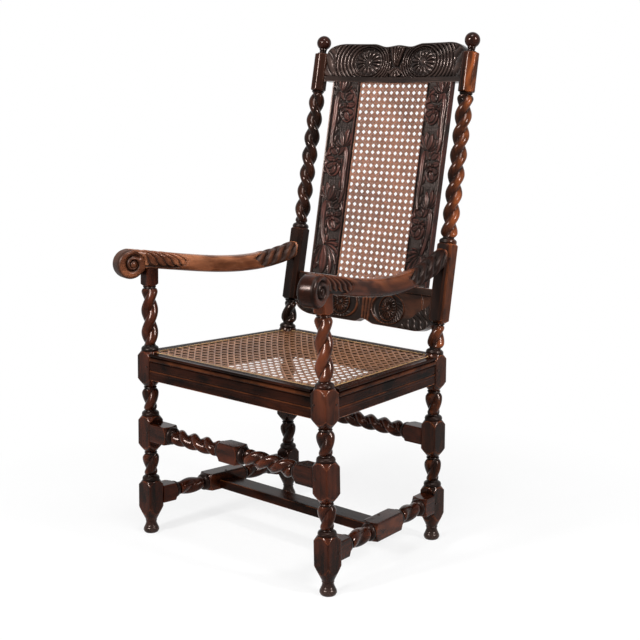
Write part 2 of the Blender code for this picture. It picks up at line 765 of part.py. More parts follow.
def arm_point(t, side):
    """Centre line of an arm from the scroll (0) to the post (1), its x measured away from the middle."""
    rise = RIGHT_ARM_RISE if side > 0 else 0.0
    rear_z = arm_front - ARM_DIP * 0.27 + rise
    rear_y, rear_v = post_front(rear_z)
    front_x = leg_x(arm_seat) + SCROLL_FLARE * 0.6
    front_y = -SCROLL_REACH * 0.8
    second_y = rear_y * 0.24
    control = (
        (front_x, front_y, arm_front + SCROLL_RISE / 2),
        (front_x - (second_y - front_y) * math.tan(SCROLL_TURN), second_y, arm_front - ARM_DIP * 0.2),
        (post_at(rear_v) + ARM_REAR_WIDTH / 6, rear_y * 0.62, arm_front - ARM_DIP - rise * 0.9),
        (post_at(rear_v), rear_y, rear_z),
    )
    weights = ((1 - t) ** 3, 3 * t * (1 - t) ** 2, 3 * t * t * (1 - t), t**3)
    return [sum(weight * point[i] for weight, point in zip(weights, control)) for i in range(3)]


def arm(side, word):
    name = f"arm_{word}"
    rings = []
    for i in range(ARM_STEPS + 1):
        t = i / ARM_STEPS
        x, y, z = arm_point(t, side)
        ahead, behind = arm_point(t + 0.01, side), arm_point(t - 0.01, side)
        slope = math.atan2(ahead[2] - behind[2], ahead[1] - behind[1])
        if i == ARM_STEPS:
            slope = -BACK_RAKE
            y -= GAP / math.cos(BACK_RAKE)
        half_width = (ARM_WIDTH + (ARM_REAR_WIDTH - ARM_WIDTH) * smooth(t)) / 2
        ring = []
        for a, b in circle(1.0, BALL_RING):
            across = half_width * math.copysign(abs(a) ** 0.7, a)
            up = ARM_HEIGHT / 2 * math.copysign(abs(b) ** 0.7, b)
            ring.append((side * (x + across), y - up * math.sin(slope), z + up * math.cos(slope)))
        rings.append(ring)
    piece(name, rings, "arm_walnut")
    boolean(pieces[name], f"{name}_scroll", [arm_scroll(side)], "UNION")

    def on_leg(a, b, z):
        return (side * leg_x(z) + a, b, z)

    seat = centred(0.0, ARM_BLOCK)
    cut(name, "seat", slab(on_leg, seat, seat, (arm_block, arm_seat), GAP))
    socket = centred(0.0, ARM_TENON)
    cut(name, "mortises", slab(on_leg, socket, socket, (arm_block, arm_seat + ARM_TENON_LENGTH), GAP))
    level = arm_seat + ARM_TENON_LENGTH / 2
    start = (side * (leg_x(level) + ARM_WIDTH * 0.475), 0.0, level)
    peg(f"peg_arm_front_{word}", start, (-side, 0.0, 0.0), (name, f"front_leg_{word}"))

    rear_x, rear_y, rear_z = arm_point(1.0, side)

    def into_post(a, b, s):
        y = rear_y + b * math.sin(BACK_RAKE) + s * math.cos(BACK_RAKE)
        return (side * rear_x + a, y, rear_z + b * math.cos(BACK_RAKE) - s * math.sin(BACK_RAKE))

    across_span = centred(0.0, TENON_THICKNESS)
    up_span = centred(0.0, STRETCHER_TENON)
    tenon_joint(name, f"rear_post_{word}", into_post, across_span, up_span, -GAP, 1)
    start = into_post(side * POST / 2, 0.0, TENON_LENGTH / 2)
    peg(f"peg_arm_rear_{word}", start, (-side, 0.0, 0.0), (name, f"rear_post_{word}"))


def arm_scroll(side):
    """Rings of the roll at the front of an arm, with a raised eye on each face."""
    centre_x = leg_x(arm_seat) + SCROLL_FLARE
    centre_z = arm_front + ARM_HEIGHT / 2 + SCROLL_RISE - SCROLL_RADIUS
    half, rim = SCROLL_WIDTH / 2, SCROLL_WIDTH / 2 * 0.9
    steps = [(half, SCROLL_EYE), (rim, SCROLL_EYE), (rim, SCROLL_RADIUS * 0.9), (rim * 0.85, SCROLL_RADIUS)]
    steps += [(-out, radius) for out, radius in reversed(steps)]
    rings = []
    for out, radius in steps:
        ring = []
        for a, b in circle(radius, SCROLL_RING):
            x = centre_x + out * math.cos(SCROLL_TURN) - a * math.sin(SCROLL_TURN)
            y = -SCROLL_REACH + out * math.sin(SCROLL_TURN) + a * math.cos(SCROLL_TURN)
            ring.append((side * x, y, centre_z + b))
        rings.append(ring)
    return rings


def net_lines(first, last, gaps, border):
    """Lines of a net along one way: border, then strands and gaps by turns, then border."""
    pitch = (last - first) / (gaps + 1 - CANE_GAP_SHARE)
    lines = [first - border]
    for i in range(gaps + 1):
        lines += [first + pitch * i, first + pitch * (i + 1 - CANE_GAP_SHARE)]
    return lines + [last + border]


def cane_net(name, place, columns, rows):
    """Caned panel as one pierced sheet; its corners are notched clear of the frame's joints."""
    mesh = bmesh.new()
    wide, tall = len(columns) - 1, len(rows) - 1
    corners = {(0, 0), (0, tall - 1), (wide - 1, 0), (wide - 1, tall - 1)}

    def filled(i, j):
        inside = 0 <= i < wide and 0 <= j < tall
        open_gap = 0 < i < wide - 1 and 0 < j < tall - 1 and i % 2 == 0 and j % 2 == 0
        return inside and not open_gap and (i, j) not in corners

    grid = {}

    def corner(i, j, k):
        if (i, j, k) not in grid:
            grid[i, j, k] = mesh.verts.new(place(columns[i], rows[j], -k * CANE_THICKNESS))
        return grid[i, j, k]

    for i in range(wide):
        for j in range(tall):
            if not filled(i, j):
                continue
            ring = ((i, j), (i + 1, j), (i + 1, j + 1), (i, j + 1))
            mesh.faces.new([corner(*p, 0) for p in ring])
            mesh.faces.new([corner(*p, 1) for p in reversed(ring)])
            beside = ((i, j - 1), (i + 1, j), (i, j + 1), (i - 1, j))
            for side in range(4):
                if not filled(*beside[side]):
                    a, b = ring[side], ring[(side + 1) % 4]
                    mesh.faces.new((corner(*b, 0), corner(*a, 0), corner(*a, 1), corner(*b, 1)))
    bmesh.ops.recalc_face_normals(mesh, faces=mesh.faces)
    data = bpy.data.meshes.new(name)
    mesh.to_mesh(data)
    mesh.free()
    data.materials.append(finish("cane"))
    pieces[name] = bpy.data.objects.new(name, data)
    pieces[name].parent = chair
    bpy.context.collection.objects.link(pieces[name])


def seat_cane():
    front_x = leg_x(rail_top) - BLOCK / 2 - CANE_MARGIN
    rear_x = post_inner - CANE_MARGIN
    first, last = front_face + CANE_MARGIN, rear_face - CANE_MARGIN
    border = SEAT_CANE_SEAT + CANE_MARGIN

    def place(a, y, w):
        return (a * (1 + (rear_x / front_x - 1) * (y - first) / (last - first)), y, rail_top + w)

    columns = net_lines(-front_x, front_x, SEAT_CANE_COLUMNS, border)
    cane_net("seat_cane", place, columns, net_lines(first, last, SEAT_CANE_ROWS, border))


def back_cane():
    half = BACK_OPENING / 2 - CANE_MARGIN
    first, last = lower_rail_top + CANE_MARGIN, crest_bottom - CANE_MARGIN
    border = CANE_SEAT + CANE_MARGIN

    def place(u, v, w):
        return on_bow(u, v, CARVED_FACE - BACK_CANE_RECESS + w)

    columns = net_lines(-half, half, BACK_CANE_COLUMNS, border)
    cane_net("back_cane", place, columns, net_lines(first, last, BACK_CANE_ROWS, border))


def centre_chair():
    """Stand the chair's bounding box with its middle on the origin."""
    depths = [vertex.co.y for thing in pieces.values() for vertex in thing.data.vertices]
    depths += [point[1] for ring in arm_scroll(1) for point in ring]
    chair.location.y = -(min(depths) + max(depths)) / 2


SIDES = ((-1, "left"), (1, "right"))
front_legs = ("front_leg_left", "front_leg_right")
rear_posts = ("rear_post_left", "rear_post_right")

for hand, label in SIDES:
    front_leg(hand, label)
    rear_post(hand, label)
    finial(hand, label)
cross_rail("front_rail", RAIL_SETBACK - BLOCK / 2, BLOCK / 2, lambda z: leg_x(z) - BLOCK / 2,
           front_legs, 0.0, 1)
cross_rail("rear_rail", SEAT_DEPTH + POST / 2 - RAIL_SETBACK, SEAT_DEPTH - POST / 2, lambda z: post_inner,
           rear_posts, SEAT_DEPTH, -1)
cross_stretcher("front_stretcher", lambda z: leg_x(z) - BLOCK / 2, 0.0,
                middle_block_z + FRONT_STRETCHER_RISE, BLOCK, front_legs, STRETCHER_MIDDLE_BLOCK, 1)
cross_stretcher("rear_stretcher", lambda z: post_inner, SEAT_DEPTH,
                middle_block_z + REAR_STRETCHER_RISE, POST, rear_posts, 0.0, -1)
for hand, label in SIDES:
    side_rail(hand, label)
    side_stretcher(hand, label)
    arm(hand, label)
medial_stretcher()

crest_tenon = (crest_block + 2 * BLOCK_TAPER, post_top - 2 * BLOCK_TAPER)
lower_tenon = (back_block + 2 * BLOCK_TAPER, lower_rail_top - BLOCK_TAPER)
carved_rail("crest_rail", CREST_BLOCK, lambda u, end: crest_bottom,
            lambda u, end: crest_bottom + CREST_HEIGHT - back_outline(u, end, CREST_SHOULDER), crest_tenon)
carved_rail("lower_back_rail", POST,
            lambda u, end: lower_rail_bottom + back_outline(u, end, LOWER_RAIL_DROP),
            lambda u, end: lower_rail_top, lower_tenon)
for hand, label in SIDES:
    upright(hand, label)
rosettes("crest_rail", crest_bottom + CREST_HEIGHT * 0.5)
rosettes("lower_back_rail", lower_rail_bottom + LOWER_RAIL_HEIGHT * 0.45)
cane_rabbet("crest_rail", crest_bottom, 1)
cane_rabbet("lower_back_rail", lower_rail_top, -1)
seat_cane()
back_cane()
for (target, stage), bodies in cuts.items():
    boolean(pieces[target], f"{target}_{stage}", bodies, "DIFFERENCE")
centre_chair()
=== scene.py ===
"""Looks of a carved walnut armchair with twist-turned members and a caned seat and back."""

from functools import partial
import math
import bpy
import numpy as np
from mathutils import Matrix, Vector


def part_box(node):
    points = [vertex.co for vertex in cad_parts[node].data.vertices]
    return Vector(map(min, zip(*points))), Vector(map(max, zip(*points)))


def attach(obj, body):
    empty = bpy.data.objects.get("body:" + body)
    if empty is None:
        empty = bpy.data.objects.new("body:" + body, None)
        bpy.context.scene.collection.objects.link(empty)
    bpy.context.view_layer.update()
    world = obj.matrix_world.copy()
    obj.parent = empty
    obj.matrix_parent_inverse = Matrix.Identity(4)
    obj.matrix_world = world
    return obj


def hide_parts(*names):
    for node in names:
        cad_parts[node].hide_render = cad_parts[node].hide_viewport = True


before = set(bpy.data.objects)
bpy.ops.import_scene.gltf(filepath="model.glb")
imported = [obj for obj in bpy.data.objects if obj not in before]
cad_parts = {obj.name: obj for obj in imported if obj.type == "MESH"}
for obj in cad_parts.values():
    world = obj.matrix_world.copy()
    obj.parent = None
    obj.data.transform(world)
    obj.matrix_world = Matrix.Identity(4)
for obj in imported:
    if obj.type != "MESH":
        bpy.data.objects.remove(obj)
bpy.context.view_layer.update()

# Front legs. Each is one length of walnut, left square where a rail or stretcher is tenoned
# into it and turned between, with two-strand twists carved by hand. It leans in as it rises
# and carries the arm on a tenon.

leg_low, leg_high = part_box("front_leg_right")
FRONT_Y = (leg_low.y + leg_high.y) / 2
LEG_SPREAD, LEG_LEAN = 0.578, 0.0245
BLOCK, ARM_BLOCK = 0.0426, 0.032
TWIST_RADIUS, TWIST_WAIST, HALF_TURN = 0.0197, 0.0106, 0.052
DOME = [(0.0, 0.0192), (0.0012, 0.0204), (0.0040, 0.0206), (0.0075, 0.0196), (0.0100, 0.0172),
        (0.0112, 0.0150), (0.0122, 0.0132), (0.0150, 0.0134)]
NECK = [(0.0, 0.0132), (0.0008, 0.0146), (0.0024, 0.0154), (0.0040, 0.0146), (0.0050, 0.0127),
        (0.0060, 0.0130)]
FOOT_RADIUS, FOOT_HEIGHT = 0.0188, 0.032
LOWER_TWIST, MIDDLE_BLOCK = 0.131, 0.202
UPPER_TWIST, SEAT_BLOCK, SUPPORT_TWIST = 0.291, 0.362, 0.448
SUPPORT_BLOCK, ARM_SEAT = 0.602, 0.645
SHORT_BEGIN, SUPPORT_BEGIN = math.radians(-86), math.radians(-47)
SIDES = ((-1, "left"), (1, "right"))


def node(tree, kind, inputs=None, **settings):
    """New node with its settings, and its inputs given as values or as sockets to link."""
    made = tree.nodes.new(kind)
    for key, value in settings.items():
        setattr(made, key, value)
    for key, value in (inputs or {}).items():
        if isinstance(value, bpy.types.NodeSocket):
            tree.links.new(value, made.inputs[key])
        else:
            made.inputs[key].default_value = value
    return made


def made(tree, kind, inputs=None, **settings):
    """First output of a new node."""
    return node(tree, kind, inputs, **settings).outputs[0]


def worked(tree, operation, first, second=0.0):
    """Output of one Math node."""
    return made(tree, "ShaderNodeMath", {0: first, 1: second}, operation=operation)


def blended(tree, share, first, second):
    """Output of one colour mix."""
    mix = node(tree, "ShaderNodeMix", {0: share, 6: first, 7: second}, data_type="RGBA")
    return mix.outputs[2]


def new_finish(name):
    """New material, its tree and its shader."""
    material = bpy.data.materials.new(name)
    material.use_nodes = True
    return material, material.node_tree, material.node_tree.nodes["Principled BSDF"]


def walnut(name, deep, body, worn, roughness, bump=0.35, gloss=0.12, scuffed=False):
    """Old waxed walnut: streaked along the grain, darker where grime and painted shade lie in hollows, redder
    where hands rub.
    """
    material, tree, shader = new_finish(name)
    work = partial(worked, tree)
    grain = node(tree, "ShaderNodeAttribute", attribute_name="grain").outputs["Vector"]

    def streaks(along, across, detail, distortion=0.0):
        scale = {"Vector": grain, "Scale": (along, across, across)}
        stretched = made(tree, "ShaderNodeMapping", scale)
        noise = {"Vector": stretched, "Scale": 1.0, "Detail": detail, "Distortion": distortion}
        return made(tree, "ShaderNodeTexNoise", noise)

    figure = streaks(5.0, 46.0, 4.0, 1.1)
    fibres = streaks(14.0, 330.0, 5.0)
    pores = streaks(90.0, 1500.0, 2.0)
    patches = streaks(14.0, 38.0, 4.0, 0.6)
    clouds = streaks(6.5, 9.0, 2.0)
    share = work("MULTIPLY", figure, 0.23)
    for noise, weight in ((fibres, 0.12), (patches, 0.35), (clouds, 0.30)):
        share = work("ADD", share, work("MULTIPLY", noise, weight))
    ramp = node(tree, "ShaderNodeValToRGB", {0: share})
    ramp.color_ramp.elements[0].position = 0.43
    ramp.color_ramp.elements[0].color = (*deep, 1.0)
    ramp.color_ramp.elements[1].position = 0.58
    ramp.color_ramp.elements[1].color = (*body, 1.0)
    ramp.color_ramp.elements.new(0.70).color = (*(2.0 * channel for channel in body), 1.0)
    # Rubbed wear; where a piece's tint asks for it, this also carries a painted highlight.
    rubbed = node(tree, "ShaderNodeAttribute", attribute_name="wear").outputs["Fac"]
    broken = made(tree, "ShaderNodeMapRange", {0: patches, 1: 0.36, 2: 0.62, 3: 0.12, 4: 1.0})
    rubbed = work("MULTIPLY", rubbed, broken)
    rubbed.node.use_clamp = True
    colour = blended(tree, rubbed, ramp.outputs[0], (*worn, 1.0))
    # Near-black brown over the hollows: grime, and painted shade standing in for occlusion.
    grime_and_shade_share = node(tree, "ShaderNodeAttribute", attribute_name="grime_and_painted_shade").outputs["Fac"]
    grime_and_shade_colour = tuple(0.22 * channel for channel in deep)
    colour = blended(tree, grime_and_shade_share, colour, (*grime_and_shade_colour, 1.0))
    if scuffed:
        place = node(tree, "ShaderNodeTexCoord").outputs["Object"]
        height = node(tree, "ShaderNodeSeparateXYZ", {0: place}).outputs["Z"]
        low = made(tree, "ShaderNodeMapRange", {0: height, 1: 0.002, 2: 0.040, 3: 0.7, 4: 0.0})
        colour = blended(tree, work("MULTIPLY", low, patches), colour, (0.070, 0.055, 0.048, 1.0))
    tree.links.new(colour, shader.inputs["Base Color"])
    dull = work("MULTIPLY_ADD", patches, 0.14)
    dull.node.inputs[2].default_value = roughness - 0.07
    dull = work("ADD", dull, work("MULTIPLY", grime_and_shade_share, 0.22))
    tree.links.new(dull, shader.inputs["Roughness"])
    shader.inputs["Specular IOR Level"].default_value = gloss
    shader.inputs["Specular Tint"].default_value = (1.0, 0.78, 0.70, 1.0)
    uneven = work("MULTIPLY_ADD", fibres, 0.16)
    uneven_pores = work("MULTIPLY_ADD", pores, 0.14)
    tree.links.new(uneven_pores, uneven.node.inputs[2])
    tree.links.new(work("MULTIPLY", patches, 1.6), uneven_pores.node.inputs[2])
    relief = node(tree, "ShaderNodeBump", {"Height": uneven, "Strength": bump, "Distance": 0.0008})
    tree.links.new(relief.outputs[0], shader.inputs["Normal"])
    return material


def peak(offset, width):
    """Bell-shaped rise, 1 where the offset is 0."""
    return np.exp(-((offset / width) ** 2))


def hollowness(rings, reach):
    """How far each point lies below (plus) or above (minus) its surroundings."""
    soft = rings
    for _ in range(reach):
        around = np.roll(soft, 1, 1) + np.roll(soft, -1, 1)
        ends = np.concatenate([soft[:1], soft, soft[-1:]])
        soft = (2 * soft + around + ends[:-2] + ends[2:]) / 6
    across = np.roll(rings, -1, 1) - np.roll(rings, 1, 1)
    normal = np.cross(across, np.gradient(rings, axis=0))
    normal /= np.linalg.norm(normal, axis=2, keepdims=True) + 1e-12
    return ((soft - rings) * normal).sum(2)


def ring_faces(count, points):
    """Quads over rings of points, and the two end caps."""
    index = np.arange(count * points).reshape(count, points)
    low, high = index[:-1], index[1:]
    quads = np.stack([low, np.roll(low, -1, 1), np.roll(high, -1, 1), high], 2).reshape(-1, 4)
    return quads.tolist() + [index[0][::-1].tolist(), index[-1].tolist()]


def dressed(name, shells, finish, nodes, reach=5, deep=0.0009, proud=0.0008, crease=38):
    """One piece from closed shells of (rings, grain, tint), in the place of CAD nodes. Its hollows get grime
    and painted shade and its high places are rubbed; a tint from -1 to 1 adds more of either."""
    points, faces, grain, grime_and_painted_shade, wear = [], [], [], [], []
    for rings, fibre, *tint in shells:
        start = sum(len(part) for part in points)
        count, around = rings.shape[:2]
        ahead, beside = rings[1:, :] - rings[:-1, :], np.roll(rings, -1, 1) - rings
        middle = rings - rings.mean(axis=(0, 1))
        inside_out = (np.cross(beside[:-1], ahead) * middle[:-1]).sum() < 0
        quads = ring_faces(count, around)
        faces += [[start + i for i in (face[::-1] if inside_out else face)] for face in quads]
        hollow = hollowness(rings, reach) * (-1 if inside_out else 1)
        more = tint[0] if tint else 0 * hollow
        points.append(rings.reshape(-1, 3))
        grain.append(np.asarray(fibre).reshape(-1, 3))
        # Hollows darkened with grime and painted shade; high places rubbed lighter.
        grime_and_painted_shade.append(np.clip(np.maximum((hollow - 0.0001) / deep, -more), 0, 1).ravel())
        wear.append(np.clip(np.maximum((-hollow - 0.0003) / proud, more), 0, 1).ravel())
    mesh = bpy.data.meshes.new(name)
    mesh.from_pydata(np.concatenate(points).tolist(), [], faces)
    fibre = np.concatenate(grain) + 0.37 * len(bpy.data.meshes)
    marked(mesh, "grain", fibre, "FLOAT_VECTOR")
    marked(mesh, "grime_and_painted_shade", np.concatenate(grime_and_painted_shade))
    marked(mesh, "wear", np.concatenate(wear))
    return placed_piece(mesh, finish, nodes, crease)


def linked(name, data):
    """New object in the scene."""
    thing = bpy.data.objects.new(name, data)
    bpy.context.scene.collection.objects.link(thing)
    return thing


def marked(mesh, label, values, kind="FLOAT"):
    """Give each point of a mesh a number, or a vector, under a label."""
    field = "value" if kind == "FLOAT" else "vector"
    mesh.attributes.new(label, kind, "POINT").data.foreach_set(field, np.ravel(values))


def placed_piece(mesh, finish, nodes, crease=38):
    """Object for a finished mesh, riding on the chair in the place of its CAD nodes."""
    mesh.materials.clear()
    mesh.materials.append(finish)
    mesh.shade_smooth()
    mesh.set_sharp_from_angle(angle=math.radians(crease))
    thing = linked(mesh.name, mesh)
    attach(thing, "root")
    if nodes:
        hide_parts(*nodes)
    return thing


def new_tree(name, **inputs):
    """Geometry node tree with its inputs named and typed, and the sockets that give them."""
    tree = bpy.data.node_groups.new(name, "GeometryNodeTree")
    tree.is_modifier = True
    for label, kind in inputs.items():
        shown = label.replace("_", " ")
        tree.interface.new_socket(shown, in_out="INPUT", socket_type=f"NodeSocket{kind}")
    tree.interface.new_socket("Geometry", in_out="OUTPUT", socket_type="NodeSocketGeometry")
    return tree, node(tree, "NodeGroupInput").outputs


def ended(tree, geometry, finish):
    """Tree closed with plain geometry in its finish."""
    joined = made(tree, "GeometryNodeRealizeInstances", {0: geometry})
    coated = made(tree, "GeometryNodeSetMaterial", {"Geometry": joined, "Material": finish})
    node(tree, "NodeGroupOutput", {"Geometry": coated})
    return tree


def read(tree, label, kind="FLOAT"):
    """What the points of the geometry carry under a label."""
    return node(tree, "GeometryNodeInputNamedAttribute", {"Name": label}, data_type=kind).outputs["Attribute"]


def twist_tree():
    """Carves a turned blank into two strands that lie side by side and wind about its axis."""
    tree, given = new_tree("two_strand_twist", Geometry="Geometry", Waist="Float", Finish="Material")
    work = partial(worked, tree)
    lobe, turn, around = (read(tree, label) for label in ("lobe", "turn", "around"))
    angle = work("SUBTRACT", around, turn)
    squares = work("SUBTRACT", work("POWER", lobe, 2.0), work("POWER", given["Waist"], 2.0))
    offset = work("DIVIDE", squares, work("MULTIPLY", lobe, 2.0))
    strand = work("SUBTRACT", lobe, offset)
    outward = work("MULTIPLY", offset, work("ABSOLUTE", work("COSINE", angle)))
    sideways = work("MULTIPLY", offset, work("SINE", angle))
    under = work("SUBTRACT", work("POWER", strand, 2.0), work("POWER", sideways, 2.0))
    reach = work("ADD", outward, work("SQRT", under))
    here = made(tree, "GeometryNodeInputPosition")
    height = node(tree, "ShaderNodeSeparateXYZ", {0: here}).outputs["Z"]
    moved = made(tree, "ShaderNodeCombineXYZ", {
        "X": work("MULTIPLY", reach, work("COSINE", around)),
        "Y": work("MULTIPLY", reach, work("SINE", around)),
        "Z": height,
    })
    twisted = work("GREATER_THAN", lobe, 0.0)
    carved = made(tree, "GeometryNodeSetPosition", {
        "Geometry": given["Geometry"], "Selection": twisted, "Position": moved})
    return ended(tree, carved, given["Finish"])


def solved(thing, tree, settings):
    """Plain mesh of an object after a node tree, whose named inputs are set first; the object is removed."""
    modifier = thing.modifiers.new(tree.name, "NODES")
    modifier.node_group = tree
    for item in tree.interface.items_tree:
        if item.in_out == "INPUT" and item.name in settings:
            modifier[item.identifier] = settings[item.name]
    depsgraph = bpy.context.evaluated_depsgraph_get()
    result = bpy.data.meshes.new_from_object(thing.evaluated_get(depsgraph), depsgraph=depsgraph)
    bpy.data.objects.remove(thing)
    return result


two_strand_twist = twist_tree()
corner_share = np.sin(np.linspace(-1, 1, 17)[:-1] * math.pi / 2) * math.pi / 4
ANGLES = np.concatenate([corner_share + quarter * math.pi / 2 for quarter in range(4)])


class Member:
    """Square-and-turned member along its own axis, as rings of radii gathered from foot to head."""

    def __init__(self, waist=TWIST_WAIST):
        self.waist = waist
        self.along, self.radius, self.lobe, self.turn, self.tint = [], [], [], [], []

    def add(self, along, radius, lobe=0.0, turn=0.0, tint=0.0):
        shape = (len(along), len(ANGLES))
        self.along.append(np.asarray(along, float))
        self.radius.append(np.broadcast_to(radius, shape))
        self.lobe.append(np.broadcast_to(np.reshape(lobe, (-1, 1)), shape))
        self.turn.append(np.broadcast_to(np.reshape(turn, (-1, 1)), shape))
        self.tint.append(np.full(shape, tint))

    def lathe(self, profile, step=0.0012, tint=0.0):
        """Turned stretch through (place, radius) points, rounded between them."""
        places, radii = np.array(profile).T
        along = np.arange(places[0], places[-1], step)
        share = np.interp(along, places, np.arange(len(places)))
        part = share % 1
        ease = part * part * (3 - 2 * part)
        low = share.astype(int)
        radius = radii[low] + (radii[np.minimum(low + 1, len(radii) - 1)] - radii[low]) * ease
        self.add(along, radius[:, None], tint=tint)

    def square(self, start, end, size, chamfer=0.0, low_turned=True, high_turned=True, taper=0.022,
               narrow=0.63, shoulder=0.014):
        """Square block with worn corners; a turned end cuts them off in a cone, long under a leg's block."""
        half = size / 2
        fine = np.linspace(0, 1, 19)
        along = [start + taper * fine] if low_turned else [[start, start + 0.0006]]
        along.append(np.linspace(start + taper, end - shoulder, 8)[1:-1])
        along.append(end - shoulder * fine[::-1] if high_turned else [end - 0.0006, end])
        along = np.concatenate(along)
        corners = np.abs(np.cos(ANGLES)) ** 22 + np.abs(np.sin(ANGLES)) ** 22
        flat = half * corners ** (-1 / 22)
        if chamfer:
            bevel = (2 * half - chamfer) / (np.abs(np.cos(ANGLES)) + np.abs(np.sin(ANGLES)))
            flat = np.minimum(flat, bevel)
        radius = np.broadcast_to(flat, (len(along), len(ANGLES))).copy()
        tint = np.zeros_like(radius)
        rise, fall = np.clip((along - start) / taper, 0, 1), np.clip((end - along) / shoulder, 0, 1)
        low_cone, high_cone = half * (narrow + (1.46 - narrow) * rise), half * (0.96 + 0.50 * fall)
        for turned, cone in ((low_turned, low_cone), (high_turned, high_cone)):
            if turned:
                # Lighter line where a cone meets the flat: wear, plus a painted highlight for the glint on
                # that edge.
                tint += 0.55 * peak(cone[:, None] - flat, 0.0008)
                radius = np.minimum(radius, cone[:, None])
        self.add(along, radius, tint=tint)

    def twist(self, start, end, half_turn, hand, begin=0.0, head=NECK):
        """Dome on the block below, two-strand twist, and a neck or dome; gives the strands' last angle."""
        self.lathe([(start + place, radius) for place, radius in DOME], 0.0007, -0.8)
        first, last = start + DOME[-1][0] + 0.0004, end - head[-1][0] - 0.0004
        along = np.linspace(first, last, max(8, round((last - first) / 0.0015)))
        inset = np.minimum(along - first, last - along)
        swell = np.minimum(1, 0.34 + inset / 0.015)
        lobe = self.waist + (TWIST_RADIUS - self.waist) * swell * (2 - swell)
        turn = begin + hand * math.pi * (along - first) / half_turn
        self.add(along, TWIST_RADIUS, lobe, turn)
        self.lathe([(end - place, radius) for place, radius in reversed(head)], 0.0007, -0.7)
        return turn[-1]

    def piece(self, name, place, finish, slot, nodes, rubbed=None):
        """Carve the twists, stand the member in its place and give it its finish."""
        along, radius = np.concatenate(self.along), np.concatenate(self.radius)
        shape = radius.shape
        blank = np.stack([radius * np.cos(ANGLES), radius * np.sin(ANGLES), along[:, None] + 0 * radius], 2)
        mesh = bpy.data.meshes.new(f"{name}_blank")
        mesh.from_pydata(blank.reshape(-1, 3).tolist(), [], ring_faces(*shape))
        marked(mesh, "around", np.broadcast_to(ANGLES, shape))
        marked(mesh, "lobe", np.concatenate(self.lobe))
        marked(mesh, "turn", np.concatenate(self.turn))
        thing = linked(mesh.name, mesh)
        carved = solved(thing, two_strand_twist, {"Waist": self.waist, "Finish": finish})
        local = np.empty(len(carved.vertices) * 3)
        carved.vertices.foreach_get("co", local)
        local = local.reshape(*shape, 3)
        rings = np.stack(place(local[..., 0], local[..., 1], local[..., 2]), 2)
        tint = np.concatenate(self.tint)
        if rubbed:
            tint = tint + rubbed(local[..., 0], local[..., 1], local[..., 2])
        shell = (rings, local[..., [2, 0, 1]], tint)
        return dressed(name, [shell], finish, nodes, deep=0.0007, proud=0.0018, crease=26)


def leg_x(z):
    """Axis of the right front leg at a height."""
    return LEG_SPREAD / 2 - LEG_LEAN * z


def lower_leg(member, size):
    """Foot, three square blocks and the two short twists that all four legs share."""
    foot = [(0.0, 0.80), (0.05, 0.90), (0.20, 1.0), (0.32, 0.97), (0.48, 0.85), (0.62, 0.74), (0.76, 0.68),
            (0.86, 0.67), (0.92, 0.73), (0.97, 0.72), (1.0, 0.68)]
    member.lathe([(FOOT_HEIGHT * place, FOOT_RADIUS * share) for place, share in foot], 0.0008, -0.35)
    member.square(FOOT_HEIGHT, LOWER_TWIST, size, taper=0.036)
    member.twist(LOWER_TWIST, MIDDLE_BLOCK, HALF_TURN, 1, SHORT_BEGIN)
    member.square(MIDDLE_BLOCK, UPPER_TWIST, size)
    member.twist(UPPER_TWIST, SEAT_BLOCK, HALF_TURN, 1, SHORT_BEGIN)
    member.square(SEAT_BLOCK, SUPPORT_TWIST, size)


leg_walnut = walnut("leg_walnut", (0.0040, 0.0014, 0.0008), (0.041, 0.0088, 0.0035),
                    (0.190, 0.050, 0.020), 0.15, scuffed=True)
for side, word in SIDES:
    leg = Member()
    lower_leg(leg, BLOCK)
    leg.twist(SUPPORT_TWIST, SUPPORT_BLOCK, HALF_TURN, 1, SUPPORT_BEGIN)
    leg.square(SUPPORT_BLOCK, ARM_SEAT, ARM_BLOCK, chamfer=0.003, high_turned=False, taper=0.007, narrow=0.92)
    leg.piece(f"turned_front_leg_{word}", lambda a, b, z: (side * leg_x(z) + a, FRONT_Y + b, z),
              leg_walnut, "dark_walnut", [f"front_leg_{word}"],
              lambda a, b, z: (0.12 + 0.32 * side) * np.clip((z - SEAT_BLOCK) / 0.10, 0, 1))

# Rear posts. Each is sawn from one plank so that it stands upright to the seat and rakes back
# above it, chamfered where the arm and the carved rails join it, with a long twist between.

REAR_Y = FRONT_Y + 0.421
POST, POST_X, POST_TAPER = 0.041, 0.237, 0.0086
RAKE = math.radians(10.4)
BACK_BLOCK, LONG_TWIST, CREST_BLOCK, POST_TOP = 0.0726, 0.257, 0.605, 0.697
CREST_BLOCK_SIZE, LONG_HALF_TURN = 0.0385, 0.045


def on_back(u, v, w):
    """Point of the raked back: across, up the rake from its foot, and forward of the post axes."""
    y = REAR_Y + v * math.sin(RAKE) - w * math.cos(RAKE)
    return u, y, SUPPORT_TWIST + v * math.cos(RAKE) + w * math.sin(RAKE)


def post_at(v):
    """Axis of the right rear post up the rake."""
    return POST_X - POST_TAPER * np.maximum(0, v)


def eased(t):
    """Smooth step from 0 to 1."""
    t = np.clip(t, 0, 1)
    return t * t * (3 - 2 * t)


def post_point(side, a, b, s):
    """Point of a rear post: upright to the seat, raked above."""
    v = s - SUPPORT_TWIST
    raked = on_back(side * post_at(v) + a, v, -b)
    upright = (side * POST_X + a, REAR_Y + b, s)
    return tuple(np.where(v > 0, high, low) for high, low in zip(raked, upright))


def rubbed_post(side, a, b, v):
    """Wear of a post above the seat: the right one is rubbed on its outer side and black in front."""
    block = eased((v - BACK_BLOCK) / 0.004) * eased((LONG_TWIST - v) / 0.004)
    worn = np.clip(3 * a / POST - 0.6 + 0.6 * eased((v - CREST_BLOCK) / 0.02), -0.3, 0.9)
    black = np.where(b < -0.42 * POST, -0.75, np.where(a > 0.42 * POST, 0.22, -0.1))
    return np.where(side > 0, eased(v / 0.03) * (worn + (black - worn) * block), -0.5 * block)


